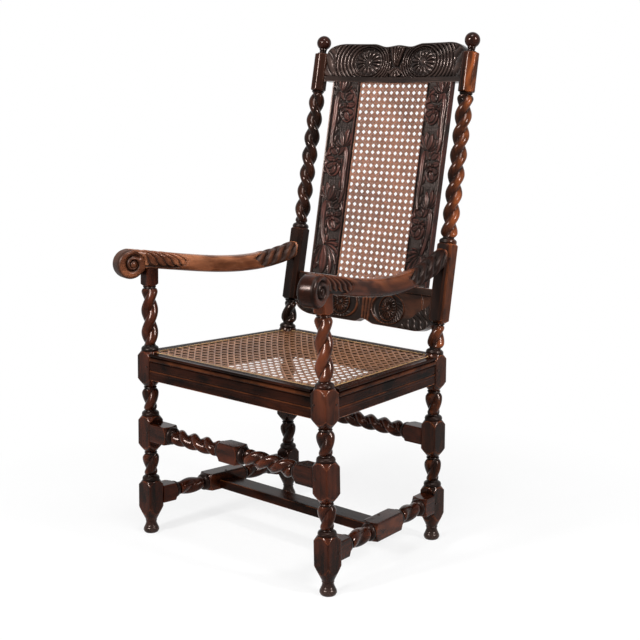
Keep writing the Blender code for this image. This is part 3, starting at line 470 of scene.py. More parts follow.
post_finishes = {
    -1: walnut("left_post_walnut", (0.0036, 0.0015, 0.0009), (0.025, 0.0078, 0.0040),
               (0.080, 0.024, 0.011), 0.14, scuffed=True),
    1: walnut("right_post_walnut", (0.0040, 0.0016, 0.0009), (0.036, 0.0095, 0.0040),
              (0.260, 0.066, 0.018), 0.15, scuffed=True),
}
for side, word in SIDES:
    post = Member()
    lower_leg(post, POST)
    post.twist(SUPPORT_TWIST, SUPPORT_TWIST + BACK_BLOCK, HALF_TURN, 1)
    post.square(SUPPORT_TWIST + BACK_BLOCK, SUPPORT_TWIST + LONG_TWIST, POST, chamfer=0.008, taper=0.011,
                narrow=0.80, shoulder=0.010)
    post.twist(SUPPORT_TWIST + LONG_TWIST, SUPPORT_TWIST + CREST_BLOCK, LONG_HALF_TURN, side)
    post.square(SUPPORT_TWIST + CREST_BLOCK, SUPPORT_TWIST + POST_TOP, CREST_BLOCK_SIZE, chamfer=0.012,
                taper=0.008, narrow=0.82, shoulder=0.009)
    post.piece(f"turned_rear_post_{word}", lambda a, b, s: post_point(side, a, b, s),
               post_finishes[side], "post_walnut", [f"rear_post_{word}"],
               lambda a, b, s: rubbed_post(side, a, b, s - SUPPORT_TWIST))

# Finials. A turned ball on a short neck stands on each rear post, held by a round spigot.

BALL_RADIUS, BALL_LIFT = 0.018, 0.0287
FINIAL_NECK = [(-0.0020, 0.0125), (0.0010, 0.0138), (0.0030, 0.0124), (0.0044, 0.0082), (0.0062, 0.0084),
               (0.0078, 0.0092), (0.0094, 0.0079), (0.0106, 0.0098), (0.0132, 0.0097)]
finial_walnut = walnut("finial_walnut", (0.0045, 0.0017, 0.0011), (0.030, 0.0080, 0.0044),
                       (0.060, 0.018, 0.010), 0.12)
for side, word in SIDES:
    ball = Member()
    ball.lathe([(POST_TOP + place, radius) for place, radius in FINIAL_NECK], 0.0004, -0.4)
    sweep = np.radians(np.linspace(-57, 88, 44))
    ball.add(POST_TOP + BALL_LIFT + BALL_RADIUS * np.sin(sweep), BALL_RADIUS * np.cos(sweep)[:, None])
    ball.piece(f"ball_finial_{word}", lambda a, b, v: on_back(side * post_at(v) + a, v, -b),
               finial_walnut, "post_walnut", [f"finial_{word}"])

# Seat rails. Four straight walnut rails are tenoned into the blocks. Fine reeds run along the
# top, a bead and an ovolo between quirks along the upper edge, and a scratched line lower down.

RAIL_TOP, RAIL_HEIGHT = 0.4445, 0.063
RAIL_SETBACK, RABBET_WIDTH, RABBET_DEPTH = 0.002, 0.019, 0.0033
REEDS = (0.0070, 0.0105, 0.0140, 0.0172)
QUIRKS = ((-0.0470, 0.0008, 0.0006), (-0.0385, 0.0012, 0.0016), (-0.0186, 0.0010, 0.0022),
          (-0.0071, 0.0011, 0.0034))
BEADS = ((-0.0176, -0.0082, 0.0020), (-0.0060, -0.0002, 0.0019))
rail_walnut = walnut("rail_walnut", (0.0024, 0.0009, 0.0005),
                     (0.022, 0.0052, 0.0020), (0.200, 0.058, 0.018), 0.17, gloss=0.045)


def rail_section():
    """Moulded face from the bottom edge up, as places inward from the face and above the top."""
    face = np.concatenate([np.linspace(-RAIL_HEIGHT, -0.0200, 58), np.linspace(-0.0200, -0.0006, 96)[1:]])
    inward = np.zeros_like(face)
    for line, width, depth in QUIRKS:
        inward += depth * peak(face - line, width)
    for low, high, proud in BEADS:
        across = np.clip((face - low) / (high - low), 0, 1)
        inward -= proud * np.sqrt(np.clip(1 - (2 * across - 1) ** 2, 0, 1))
    inward[:3] += (0.0016, 0.0007, 0.0002)
    return np.stack([inward, face], 1)


def rail_rings(stations, outer, inner, place):
    """Rings of a rail along its stations; outer and inner give its faces there."""
    face = rail_section()
    tint = 0.32 * peak(face[:, 1] + 0.0125, 0.0030) + 0.36 * peak(face[:, 1] + 0.0404, 0.0011)
    # Rabbet, inner face and underside of each rail are painted in full shade, so the seat's gaps look dark.
    tint = np.concatenate([tint, np.zeros(46), np.full(9, -1.0)])
    rings = []
    for station in stations:
        out, into = outer(station), inner(station)
        toward = math.copysign(1.0, into - out)
        section = [(out + toward * depth, RAIL_TOP + height) for depth, height in face]
        rabbet = into - toward * RABBET_WIDTH
        bed = RAIL_TOP - RABBET_DEPTH
        across = np.linspace(0.0008, abs(rabbet - out) - 0.001, 46)
        sunk = sum(0.0007 * peak(across - reed, 0.0006) for reed in REEDS)
        section += [(out + toward * a, RAIL_TOP - depth) for a, depth in zip(across, sunk)]
        section += [(rabbet, RAIL_TOP - 0.0008), (rabbet, bed)]
        section += [(into - toward * 0.001, bed), (into, bed - 0.001)]
        section += [(into, RAIL_TOP - RAIL_HEIGHT * share) for share in (0.25, 0.5, 0.75, 0.98)]
        section += [(into - toward * 0.001, RAIL_TOP - RAIL_HEIGHT)]
        rings.append([place(station, across, height) for across, height in section])
    return np.array(rings), np.broadcast_to(tint, (len(rings), len(tint)))


def cross_rail(name, cad_node, outer, inner, end_at):
    """Front or rear rail, whose ends follow the blocks that it meets."""
    stations = np.linspace(-1, 1, 90)
    rings, tint = rail_rings(stations, lambda s: outer, lambda s: inner,
                             lambda s, y, z: (s * end_at(z), y, z))
    dressed(name, [(rings, rings, tint)], rail_walnut, [cad_node])


cross_rail("moulded_front_rail", "front_rail", FRONT_Y - BLOCK / 2 + RAIL_SETBACK, FRONT_Y + BLOCK / 2,
           lambda z: leg_x(z) - BLOCK / 2)
cross_rail("moulded_rear_rail", "rear_rail", REAR_Y + POST / 2 - RAIL_SETBACK, REAR_Y - POST / 2,
           lambda z: POST_X - POST / 2)
rail_front, rail_rear = FRONT_Y + BLOCK / 2, REAR_Y - POST / 2
rail_leg_x = leg_x(RAIL_TOP - RAIL_HEIGHT / 2)


def along_side(front, rear, y):
    """Value at a place along a side rail, from those at its two ends."""
    return front + (rear - front) * (y - rail_front) / (rail_rear - rail_front)


for side, word in SIDES:
    side_rings, side_tint = rail_rings(
        np.linspace(rail_front, rail_rear, 70),
        lambda y: along_side(rail_leg_x + BLOCK / 2, POST_X + POST / 2, y) - RAIL_SETBACK,
        lambda y: along_side(leg_x(RAIL_TOP) - BLOCK / 2, POST_X - POST / 2, y),
        lambda y, x, z: (side * x, y, z),
    )
    dressed(f"moulded_side_rail_{word}", [(side_rings, side_rings[..., [1, 0, 2]], side_tint)],
            rail_walnut, [f"side_rail_{word}"])

# Stretchers. The front one has a square block in its middle with a twist to each side, the rear
# one a single long twist, and the side ones a long block that takes the flat cross bar.

STRETCHER_HALF_TURN = 0.043
FRONT_STRETCHER_Z, REAR_STRETCHER_Z, SIDE_STRETCHER_Z = 0.254, 0.250, 0.093
END_BLOCK, MIDDLE_STRETCH_BLOCK, SIDE_END_BLOCK, SIDE_BLOCK = 0.055, 0.062, 0.040, 0.108
SIDE_HALF_TURN, SIDE_WAIST = 0.056, 0.0142


def side_stretcher_x(y):
    """Axis of the right side stretcher, from the front leg to the rear post."""
    front_x = leg_x(SIDE_STRETCHER_Z)
    return front_x + (POST_X - front_x) * (y - FRONT_Y) / (REAR_Y - FRONT_Y)


def twisted_bar(spans, size, hands, half_turn=STRETCHER_HALF_TURN, waist=TWIST_WAIST):
    """Stretcher from the places where its blocks and twists change, with a hand for each twist."""
    bar = Member(waist)
    angle = 0.0
    for i in range(0, len(spans) - 2, 2):
        bar.square(spans[i], spans[i + 1], size, low_turned=i > 0, taper=0.008, narrow=0.98, shoulder=0.008)
        angle = bar.twist(spans[i + 1], spans[i + 2], half_turn, hands[i // 2], angle, DOME)
    bar.square(spans[-2], spans[-1], size, high_turned=False, taper=0.008, narrow=0.98)
    return bar


far = leg_x(FRONT_STRETCHER_Z) - BLOCK / 2
half_block = MIDDLE_STRETCH_BLOCK / 2
front_spans = [-far, END_BLOCK - far, -half_block, half_block, far - END_BLOCK, far]
front_bar = twisted_bar(front_spans, BLOCK, (1, -1))
front_bar.piece("twisted_front_stretcher", lambda a, b, x: (x, FRONT_Y + a, FRONT_STRETCHER_Z + b),
                leg_walnut, "dark_walnut", ["front_stretcher"])
far = POST_X - POST / 2
rear_bar = twisted_bar([-far, END_BLOCK - far, far - END_BLOCK, far], POST, (1,))
rear_bar.piece("twisted_rear_stretcher", lambda a, b, x: (x, REAR_Y + a, REAR_STRETCHER_Z + b),
               leg_walnut, "dark_walnut", ["rear_stretcher"])
middle_y = (rail_front + rail_rear) / 2
side_spans = [rail_front, rail_front + SIDE_END_BLOCK, middle_y - SIDE_BLOCK / 2, middle_y + SIDE_BLOCK / 2,
              rail_rear - SIDE_END_BLOCK, rail_rear]


def tint_side_block(b, y):
    """Grime on top of a side stretcher's long block, wear on its other faces."""
    return np.where(b > 0.4 * BLOCK, -0.3, 0.3) * (np.abs(y - middle_y) < SIDE_BLOCK / 2)


for side, word in SIDES:
    side_bar = twisted_bar(side_spans, BLOCK, (1, 1), SIDE_HALF_TURN, SIDE_WAIST)
    side_bar.piece(f"twisted_side_stretcher_{word}",
                   lambda a, b, y: (side * side_stretcher_x(y) + a, y, SIDE_STRETCHER_Z + b),
                   leg_walnut, "dark_walnut", [f"side_stretcher_{word}"],
                   lambda a, b, y: tint_side_block(b, y))

# Cross bar. A flat sawn bar, its top edges worn round, is tenoned between the side stretchers.

BAR_WIDTH, BAR_THICKNESS, BAR_Z = 0.050, 0.022, 0.085
bar_turn = np.linspace(0, 2 * math.pi, 96, endpoint=False) + 0.01
bar_shape = (np.abs(np.cos(bar_turn)) ** 24 + np.abs(np.sin(bar_turn)) ** 24) ** (-1 / 24)
bar_y = middle_y + BAR_WIDTH / 2 * bar_shape * np.cos(bar_turn)
bar_z = BAR_Z + BAR_THICKNESS / 2 * bar_shape * np.sin(bar_turn)
bar_share = np.linspace(-1, 1, 80)[:, None]
bar_x = bar_share * (side_stretcher_x(bar_y) - BLOCK / 2)
bar_rings = np.stack([bar_x, bar_y + 0 * bar_x, bar_z + 0 * bar_x], 2)
dressed("flat_cross_bar", [(bar_rings, bar_rings)], rail_walnut, ["medial_stretcher"])

# Lower back rail. A board hollowed to the sitter's back and tenoned between the posts, carved with
# two roundels in ovals, flutes over a notch in its lower edge, and a plain field to each post.

BACK_HOLLOW, POST_INNER = 0.020, POST_X - POST / 2
BOARD_FACE, BOARD_THICKNESS, JOINT_GAP = 0.004, 0.022, 0.0003
SHOULDER_WIDTH = 0.055
LOWER_BOTTOM, LOWER_HEIGHT, LOWER_SHOULDER = 0.0436, 0.104, 0.029
LOWER_ROUNDEL_X, LOWER_ROUNDEL_Z, LOWER_SHIFT, LOWER_PETALS = 0.076, 0.043, 0.006, 19
NOTCH_X, NOTCH_HEIGHT, CARVING_DEPTH = -0.0085, 0.0098, 0.0046
lower_walnut = walnut("lower_walnut", (0.008, 0.0048, 0.0036), (0.024, 0.0130, 0.0092),
                      (0.120, 0.034, 0.012), 0.18, 0.5)


def on_bow(u, v, w):
    """Point of the hollowed back panel."""
    return on_back(u, v, w - BACK_HOLLOW * np.maximum(0, 1 - (u / POST_INNER) ** 2))


def shoulders(u, end, drop):
    """Drop of a carved rail's free edge where it rounds down to each post."""
    reach = np.maximum(0, np.abs(u) - (end - SHOULDER_WIDTH)) / SHOULDER_WIDTH
    return drop * (1 - np.sqrt(np.maximum(0, 1 - reach**2)))


def lower_edge(u, end):
    """Lower edge of the lower back rail, with a notch under the flutes."""
    away = np.where(u < NOTCH_X, (NOTCH_X - u) / 0.024, (u - NOTCH_X) / 0.041)
    return LOWER_BOTTOM + shoulders(u, end, LOWER_SHOULDER) + NOTCH_HEIGHT * eased(1 - away)


def ridge(phase, sharp=0.7):
    """Rounded ridges with narrow valleys, one for each whole number of the phase."""
    return np.abs(np.cos(math.pi * phase)) ** sharp


def roundel(across, up, petals, wide, tall, middle):
    """Relief of a petalled roundel with a boss, and the distance from its middle in its own radii."""
    distance, angle = np.hypot(across / wide, up / tall), np.arctan2(up / tall, across / wide)
    length = np.clip((distance - middle) / (0.96 - middle), 0, 1)
    petal = ridge(angle * petals / (2 * math.pi), 0.5) * np.sin(math.pi * (0.12 + 0.84 * length)) ** 0.6
    boss = np.sqrt(np.clip(1 - (distance / middle) ** 2, 0, 1))
    rim = peak(distance - 1.05, 0.055)
    raised = np.maximum(0.0062 * boss - CARVING_DEPTH, 0.0046 * rim - 0.0040)
    relief = np.maximum(-CARVING_DEPTH + 0.0058 * petal, raised)
    return np.where(distance < 1.12, relief, -CARVING_DEPTH), distance


def carved_rail(name, cad_node, end, bottom_at, top_at, lean, relief, finish):
    """Hollowed board between the posts; its front is raised by the relief at a place across and up."""
    spread = np.concatenate([np.linspace(-end, end, 520), end - 0.010 * np.linspace(0, 1, 14)[1:] ** 2])
    stations = np.unique(np.round(np.concatenate([spread, -spread]), 6))[:, None]
    bottom, top = bottom_at(stations, end), top_at(stations, end)
    soft = 0.0035
    front = np.linspace(0, 1, 126)
    v = bottom + (top - soft - bottom) * front
    bare = np.minimum(1, np.minimum(front * 60, (1 - front) * 60))
    cut, tone = relief(stations + 0 * v, v)
    cut = cut * bare
    w = BOARD_FACE + cut
    bend = np.linspace(0, math.pi / 2, 6)[1:]
    rear = BOARD_FACE - BOARD_THICKNESS
    v_over = top - soft + soft * np.concatenate([np.sin(bend), np.cos(bend)])
    w_over = np.concatenate([BOARD_FACE - soft + soft * np.cos(bend), rear + soft - soft * np.sin(bend)])
    behind = np.linspace(1, 0, 24)[1:]
    v_rear = bottom + (top - soft - bottom) * behind
    v = np.concatenate([v, v_over, v_rear], 1)
    w = np.concatenate([w, np.broadcast_to(w_over, v_over.shape), np.full_like(v_rear, rear)], 1)
    tint = np.zeros_like(v)
    # Darker with the depth of the cut: grime and painted shade in the recesses.
    tint[:, : len(front)] = np.clip(tone + cut / 0.0036, -0.9, 0.9) * (np.abs(cut) > 0.0002)
    rings = np.stack(on_bow(stations * lean(v) / end, v, w), 2)
    dressed(name, [(rings, np.stack([stations + 0 * v, v, w], 2), tint)], finish,
            [cad_node], reach=8)


def lower_relief(u, v):
    """Carving of the lower back rail and its tone: roundels in ovals, flutes, plain fields to the posts."""
    h = v - LOWER_BOTTOM
    across, up = np.abs(u + LOWER_SHIFT) - LOWER_ROUNDEL_X, h - LOWER_ROUNDEL_Z
    relief, distance = roundel(across, up, LOWER_PETALS, 0.0262, 0.0285, 0.24)
    oval, angle = np.hypot(across / 0.0525, up / 0.0375), np.arctan2(up, across)
    wrapped = ridge(angle * 4.5 + 2.2 * distance, 0.6) * eased((1.7 - np.abs(angle + 0.9)) / 0.5)
    relief = np.where(distance > 1.12, -0.0044 + 0.0034 * wrapped, relief)
    fillet = peak(oval - 1.0, 0.036 + 0.05 * np.clip(-across / 0.04, 0, 1))
    line = peak(np.abs(u) - 0.183 + 0.9 * np.maximum(0, up) ** 1.5, 0.0014)
    corner = eased((np.abs(u) - 0.140 - 1.6 * (h - 0.026)) / 0.004) * (across > 0)
    lobes = -0.0042 + 0.0026 * ridge((np.abs(u) + 0.9 * h) / 0.0210 + 0.25 * np.sin(h * 180), 0.6)
    field = np.where(corner > 0.5, lobes, -0.0026 + 0.0034 * line)
    relief = np.where(oval > 1.0, field, relief)
    relief = np.maximum(relief, -0.0044 + 0.0056 * fillet)
    brown = eased((across - 0.024) / 0.006) * eased((h - 0.022) / 0.006) * (oval > 1.0) * (1 - corner)
    # The fillet round each oval is painted lighter, a painted highlight along it.
    tone = 0.15 + 0.90 * brown + 0.5 * fillet
    spread = 0.014 + 0.06 * (h - 0.02)
    between = np.abs(u) < spread
    relief = np.where(between, -0.0030 + 0.0042 * ridge(u / spread * 1.5, 0.5), relief)
    tone = np.where(between, 0.75, tone)
    band = eased((h - LOWER_HEIGHT + 0.018) / 0.0015)
    groove = 0.0016 * peak(h - LOWER_HEIGHT + 0.0185, 0.0011)
    return relief * (1 - band) - groove, tone


lower_end = float(post_at(0.1131)) - POST / 2 - JOINT_GAP
carved_rail("carved_lower_rail", "lower_back_rail", lower_end,
            lower_edge, lambda u, end: LOWER_BOTTOM + LOWER_HEIGHT + 0 * u,
            lambda v: post_at(v) - POST / 2 - JOINT_GAP, lower_relief, lower_walnut)

# Carved uprights. Two boards stand between the back rails on each side of the cane, with a plain
# outer border and bold scrolling leaves left standing on a sunk, punched ground.

OPENING, UPRIGHT_WIDTH, UPRIGHT_THICKNESS = 0.212, 0.080, 0.015
OUTER_BORDER, INNER_BORDER, GROUND = 0.0046, 0.0016, 0.0046
UPRIGHT_FOOT, UPRIGHT_HEAD = LOWER_BOTTOM + LOWER_HEIGHT + JOINT_GAP, 0.630 - JOINT_GAP
upright_walnut = walnut("upright_walnut", (0.012, 0.0088, 0.0078),
                        (0.027, 0.0185, 0.0160), (0.105, 0.032, 0.024), 0.18, 0.5)


def stroke(field, across, up, path, widths, height, vein):
    """Leave a flat, tapering stroke standing along a path in a relief, and cut a dark line round it."""
    path, widths = np.asarray(path, float), np.asarray(widths, float)
    margin = 1.5 * widths.max()
    columns = np.where((across > path[:, 0].min() - margin) & (across < path[:, 0].max() + margin))[0]
    rows = np.where((up > path[:, 1].min() - margin) & (up < path[:, 1].max() + margin))[0]
    if len(columns) == 0 or len(rows) == 0:
        return
    window = np.ix_(rows, columns)
    x, y = np.meshgrid(across[columns], up[rows])
    step = path[1:] - path[:-1]
    length = (step**2).sum(1) + 1e-12
    part = ((x[..., None] - path[:-1, 0]) * step[:, 0] + (y[..., None] - path[:-1, 1]) * step[:, 1]) / length
    part = np.clip(part, 0, 1)
    off_x = x[..., None] - path[:-1, 0] - part * step[:, 0]
    off_y = y[..., None] - path[:-1, 1] - part * step[:, 1]
    wide = widths[:-1] + (widths[1:] - widths[:-1]) * part
    side = (np.hypot(off_x, off_y) / np.maximum(wide, 1e-5)).min(2)
    crown = np.sqrt(np.clip(1 - side**3, 0, 1)) * (1 - vein * peak(side, 0.2))
    line = np.clip((1.5 - side) / 0.35, 0, 1)
    field[window] = np.where(side < 1, height * np.maximum(crown, 0.3), field[window] * (1 - 0.8 * line))


def frond(base, heading, length, bow):
    """Curved leaf path from a base in a heading, bending by bow."""
    t = np.linspace(0, 1, 14)
    angle = heading + bow * t
    steps = np.stack([np.cos(angle), np.sin(angle)], 1) * length / len(t)
    return np.asarray(base) + np.cumsum(steps, 0)


def leafed(width):
    """Widths along a leaf: narrow at the base, full beyond the middle, round at the tip."""
    t = np.linspace(0, 1, 14)
    return width * np.sin(math.pi * (0.12 + 0.80 * t) ** 1.1) + JOINT_GAP


def flowing(points):
    """Smooth path through a few points."""
    points = np.asarray(points, float)
    ends = np.concatenate([2 * points[:1] - points[1:2], points, 2 * points[-1:] - points[-2:-1]])
    t = np.linspace(0, 1, 10, endpoint=False)[:, None]
    parts = []
    for before, start, end, after in zip(ends, ends[1:], ends[2:], ends[3:]):
        bend = 2 * before - 5 * start + 4 * end - after
        turn = 3 * start - before - 3 * end + after
        parts.append(start + 0.5 * t * (end - before + t * (bend + t * turn)))
    return np.concatenate(parts + [points[-1:]])


def foliage(across, up):
    """Relief of three scrolls that climb from a spray of leaves at the foot, turning from side to side."""
    field = np.zeros((len(up), len(across)))
    wide, knot = across.max() - across.min(), 0.074
    period = (up.max() - up.min() - knot) / 3

    def draw(path, widths, k, lift=1.0, vein=0.0):
        """One stroke of scroll k; its path runs inward from the outer edge and up from the knot."""
        inward = path[:, 0] if k % 2 == 0 else wide - path[:, 0]
        placed = np.stack([across.max() - inward, up.min() + knot + period * k + path[:, 1]], 1)
        stroke(field, across, up, placed, widths, GROUND * lift, vein)

    def spray(base, k, leaves, width, bow):
        """Leaves from one base, each with a heading in degrees and a length."""
        for heading, length in leaves:
            draw(frond(base, math.radians(heading), length, bow), leafed(width * length), k, 1.0, 0.35)

    def lobes(path, places, k, lean, size, bow):
        """Leaf lobes that spring from a path; lean is measured from its direction."""
        for place in places:
            i = int(place * (len(path) - 2))
            heading = np.arctan2(*(path[i + 1] - path[i])[::-1]) + lean
            draw(frond(path[i], heading, size, bow), leafed(0.34 * size), k, 0.92, 0.3)

    for k in range(3):
        root = [(0.377, 0.0), (0.33, 0.009), (0.25, 0.024), (0.20, 0.041)]
        if k > 0:
            root = [(0.21, -0.028), (0.15, -0.012), (0.13, 0.007), (0.15, 0.030)]
        scroll = [(0.16, 0.058), (0.15, 0.080), (0.19, 0.100), (0.35, 0.111), (0.58, 0.115), (0.79, 0.108),
                  (0.93, 0.089), (0.95, 0.069), (0.86, 0.051), (0.69, 0.041), (0.51, 0.045), (0.42, 0.058),
                  (0.48, 0.071), (0.56, 0.077)]
        band = flowing([(wide * share, rise) for share, rise in root + scroll])
        share = np.linspace(0, 1, len(band))
        lobes(band, (0.04, 0.11, 0.18, 0.25, 0.31), k, -0.70, 0.024, 0.5)
        lobes(band, (0.08, 0.16, 0.24), k, 0.60, 0.016, -0.5)
        lobes(band, (0.38, 0.44, 0.50, 0.56, 0.62, 0.68), k, 0.75, 0.017, -0.6)
        draw(band, 0.0034 + 0.0044 * np.sin(math.pi * share**0.75), k, 1.0, 0.22)
        lobes(band, (0.40, 0.47, 0.54, 0.61, 0.68, 0.75), k, -1.15, 0.022, -0.8)
        spray((0.54 * wide, 0.072), k, [(72 * petal + 20, 0.0110) for petal in range(5)], 0.36, 0.5)
        tuft = ((140, 0.034), (20, 0.030), (120, 0.040), (45, 0.034), (98, 0.042), (70, 0.038))
        spray((0.33 * wide, 0.112), k, tuft, 0.21, 0.2)
    foot = ((30, 0.034), (8, 0.044), (-150, 0.030), (-18, 0.048), (-128, 0.050), (-44, 0.060), (-106, 0.064),
            (-66, 0.072), (-86, 0.072))
    spray((0.377 * wide, 0.0), 0, foot, 0.17, -0.15)
    return field


inner, outer = OPENING / 2 + 0.0016, OPENING / 2 + UPRIGHT_WIDTH
face_u = np.linspace(outer - 0.0010, inner + 0.0008, 96)
upright_v = np.linspace(UPRIGHT_FOOT, UPRIGHT_HEAD, 560)
within = np.minimum(outer - OUTER_BORDER - face_u, face_u - inner - INNER_BORDER)
sunk = eased(within / 0.0022)
carvable = within > 0.0008
leaves = np.zeros((len(upright_v), len(face_u)))
leaves[:, carvable] = foliage(np.sort(face_u[carvable]), upright_v)[:, ::-1]
height = upright_v[:, None]
punched = 0.0007 * np.sin(face_u * 2300 + 3 * np.sin(height * 900)) * np.sin(height * 2100)
quirk = 0.0008 * peak(outer - face_u - 0.0030, 0.0007)
carving = (leaves - GROUND + np.where(leaves < 0.0004, punched, 0)) * sunk - quirk
rear_w = BOARD_FACE - UPRIGHT_THICKNESS
rear_u = np.linspace(inner + 0.0008, outer - 0.0008, 14)
back_edge = [(inner, rear_w + 0.0008)] + [(u, rear_w) for u in rear_u] + [(outer, rear_w + 0.0008)]
plain = np.ones((len(upright_v), 1))
section_u = [u for u, _ in back_edge] + [outer] + face_u.tolist() + [inner]
section_w = np.concatenate([
    plain * [w for _, w in back_edge], plain * (BOARD_FACE - 0.0010), BOARD_FACE + carving,
    plain * (BOARD_FACE - 0.0010)], 1)
upright_tint = np.zeros_like(section_w)
# Raised leaves rubbed redder; the sunk ground darkened with grime and painted shade.
upright_tint[:, len(back_edge) + 1 : -1] = np.clip(1.5 * leaves / GROUND - 0.62, -0.6, 0.75) * sunk
# The inner side walls are painted in full shade.
upright_tint[:, [0, -1]] = -1
for side, word in SIDES:
    u_grid, v_grid = side * np.array(section_u) + 0 * section_w, upright_v[:, None] + 0 * section_w
    rings = np.stack(on_bow(u_grid, v_grid, section_w), 2)
    dressed(f"carved_upright_{word}", [(rings, np.stack([v_grid, u_grid, section_w], 2), upright_tint)],
            upright_walnut, [f"back_upright_{word}"], reach=6)

# Crest rail. The top board of the back, carved like the lower one with a roundel each side, ribs
# that wrap round it to the post, and a fluted shell over a small leaf in the middle.

CREST_BOTTOM, CREST_HEIGHT, CREST_SHOULDER = 0.630, 0.0945, 0.023
SHELL_WIDTH, CREST_DIP = 0.076, 0.007
CREST_ROUNDEL_X, CREST_ROUNDEL_Z, CREST_SHIFT, CREST_PETALS = 0.085, 0.0490, 0.002, 15
SHELL_Z, SHELL_HALF_ANGLE, END_LEAF = 0.026, 0.40, 0.184
crest_walnut = walnut("crest_walnut", (0.007, 0.0046, 0.0038), (0.019, 0.0115, 0.0095),
                      (0.066, 0.040, 0.032), 0.15, 0.5, gloss=0.20)


def crest_edge(u, end):
    """Upper edge of the crest rail, which dips each side of the shell."""
    away = np.abs(u) / (SHELL_WIDTH / 2)
    dip = np.where(away > 1, eased(2 - away), 0.45 + 0.55 * eased(away))
    return CREST_BOTTOM + CREST_HEIGHT - shoulders(u, end, CREST_SHOULDER) - CREST_DIP * dip


def nested(across, up, distance, wide, tall, pitch, close):
    """Rank of the ribs that wrap round a roundel, widest towards the post and closest above it."""
    toward = np.cos(np.arctan2(up, across))
    spread = close + (1 - close) * np.maximum(0, toward) ** 1.4 + 0.2 * np.maximum(0, -toward)
    return (distance - 1.13) * (tall + (wide - tall) * toward**2) / (pitch * spread)


def crest_relief(u, v):
    """Carving of the crest rail and its tone: roundels in ribs, shell, hanging leaf and end leaves."""
    h = v - CREST_BOTTOM
    across, up = np.abs(u + CREST_SHIFT) - CREST_ROUNDEL_X, h - CREST_ROUNDEL_Z
    wide, tall = 0.0395, 0.0322
    relief, distance = roundel(across, up, CREST_PETALS, wide, tall, 0.29)
    rank = nested(across, up, distance, wide, tall, 0.0106, 0.45)
    relief = np.where(distance > 1.12, -CARVING_DEPTH + 0.0058 * ridge(rank + 0.5, 0.8), relief)
    shell_angle, shell_reach = np.arctan2(u, h - SHELL_Z), np.hypot(u, h - SHELL_Z)
    shell = ridge(shell_angle / 0.38 * 2.5, 0.9) * eased((SHELL_HALF_ANGLE - np.abs(shell_angle)) / 0.05)
    shell = -0.0052 + 0.0092 * shell * eased((shell_reach - 0.011) / 0.008)
    in_shell = (np.abs(shell_angle) < SHELL_HALF_ANGLE) & (shell_reach > 0.012)
    leaf_angle, leaf_reach = np.arctan2(u, 0.037 - h), np.hypot(u, 0.037 - h)
    leaf = -0.0042 + 0.0060 * ridge(leaf_angle / 0.50, 0.5)
    in_leaf = (leaf_reach < 0.024) & (np.abs(leaf_angle) < 1.25)
    ground = (np.abs(u) < 0.0140 + 0.35 * np.abs(h - 0.040)) & ~in_shell & ~in_leaf
    relief = np.where(in_shell, shell, np.where(in_leaf, leaf, np.where(ground, -CARVING_DEPTH, relief)))
    past = np.abs(u) - END_LEAF
    end_leaf = eased(past / 0.003)
    lobes = -0.0030 + 0.0040 * ridge((h - 1.1 * past) / 0.027 + 0.3 * np.sin(h * 70), 0.6)
    relief = relief * (1 - end_leaf) + lobes * end_leaf
    band = 1 - eased((h - 0.0125) / 0.0014)
    groove = 0.0014 * peak(h - 0.0135, 0.0010)
    return relief * (1 - band) - groove, np.where(in_shell, 0.45, 0.25)


crest_end = float(post_at(0.651)) - CREST_BLOCK_SIZE / 2 - JOINT_GAP
carved_rail("carved_crest", "crest_rail", crest_end, lambda u, end: CREST_BOTTOM + 0 * u, crest_edge,
            lambda v: post_at(v) - CREST_BLOCK_SIZE / 2 - JOINT_GAP, crest_relief, crest_walnut)

# Arms. Each is shaped from the solid, dipping from the scroll to the post, left plain where the
# forearm lies and carved with leaves behind the scroll and at the rear.

ARM_FRONT, ARM_DIP, ARM_HEIGHT = 0.665, 0.060, 0.040
ARM_WIDTH, ARM_REAR_WIDTH, RIGHT_ARM_RISE = 0.047, 0.038, 0.022
SCROLL_RADIUS, SCROLL_WIDTH, SCROLL_REACH = 0.0337, 0.044, 0.048
SCROLL_FLARE, SCROLL_TURN, SCROLL_RISE = 0.016, math.radians(15), 0.005
scroll_half = SCROLL_WIDTH / 2 - 0.0010
scroll_x, scroll_y = leg_x(ARM_SEAT) + SCROLL_FLARE, FRONT_Y - SCROLL_REACH
scroll_z = ARM_FRONT + ARM_HEIGHT / 2 + SCROLL_RISE - SCROLL_RADIUS
arm_finishes = {
    -1: walnut("left_arm_walnut", (0.072, 0.0220, 0.0095), (0.220, 0.0740, 0.0330),
               (0.320, 0.130, 0.062), 0.27),
    1: walnut("right_arm_walnut", (0.015, 0.0038, 0.0018), (0.062, 0.0145, 0.0060),
              (0.240, 0.070, 0.026), 0.20, gloss=0.09),
}


def arm_line(side, t):
    """Centre line of an arm from the scroll (0) to the post (1), its x measured away from the middle."""
    rise = RIGHT_ARM_RISE if side > 0 else 0.0
    rear_z = ARM_FRONT - 0.27 * ARM_DIP + rise
    rear_v = (rear_z - SUPPORT_TWIST - POST / 2 * math.sin(RAKE)) / math.cos(RAKE)
    rear_y = on_back(0.0, rear_v, POST / 2)[1]
    front_x, front_y = leg_x(ARM_SEAT) + 0.6 * SCROLL_FLARE, FRONT_Y - 0.8 * SCROLL_REACH
    second_y, third_y = FRONT_Y + 0.24 * (rear_y - FRONT_Y), FRONT_Y + 0.62 * (rear_y - FRONT_Y)
    controls = np.array([
        (front_x, front_y, ARM_FRONT + SCROLL_RISE / 2),
        (front_x - (second_y - front_y) * math.tan(SCROLL_TURN), second_y, ARM_FRONT - 0.2 * ARM_DIP),
        (post_at(rear_v) + ARM_REAR_WIDTH / 6, third_y, ARM_FRONT - ARM_DIP - 0.9 * rise),
        (post_at(rear_v), rear_y, rear_z),
    ])
    weights = np.concatenate([(1 - t) ** 3, 3 * t * (1 - t) ** 2, 3 * t * t * (1 - t), t**3], 1)
    return weights @ controls


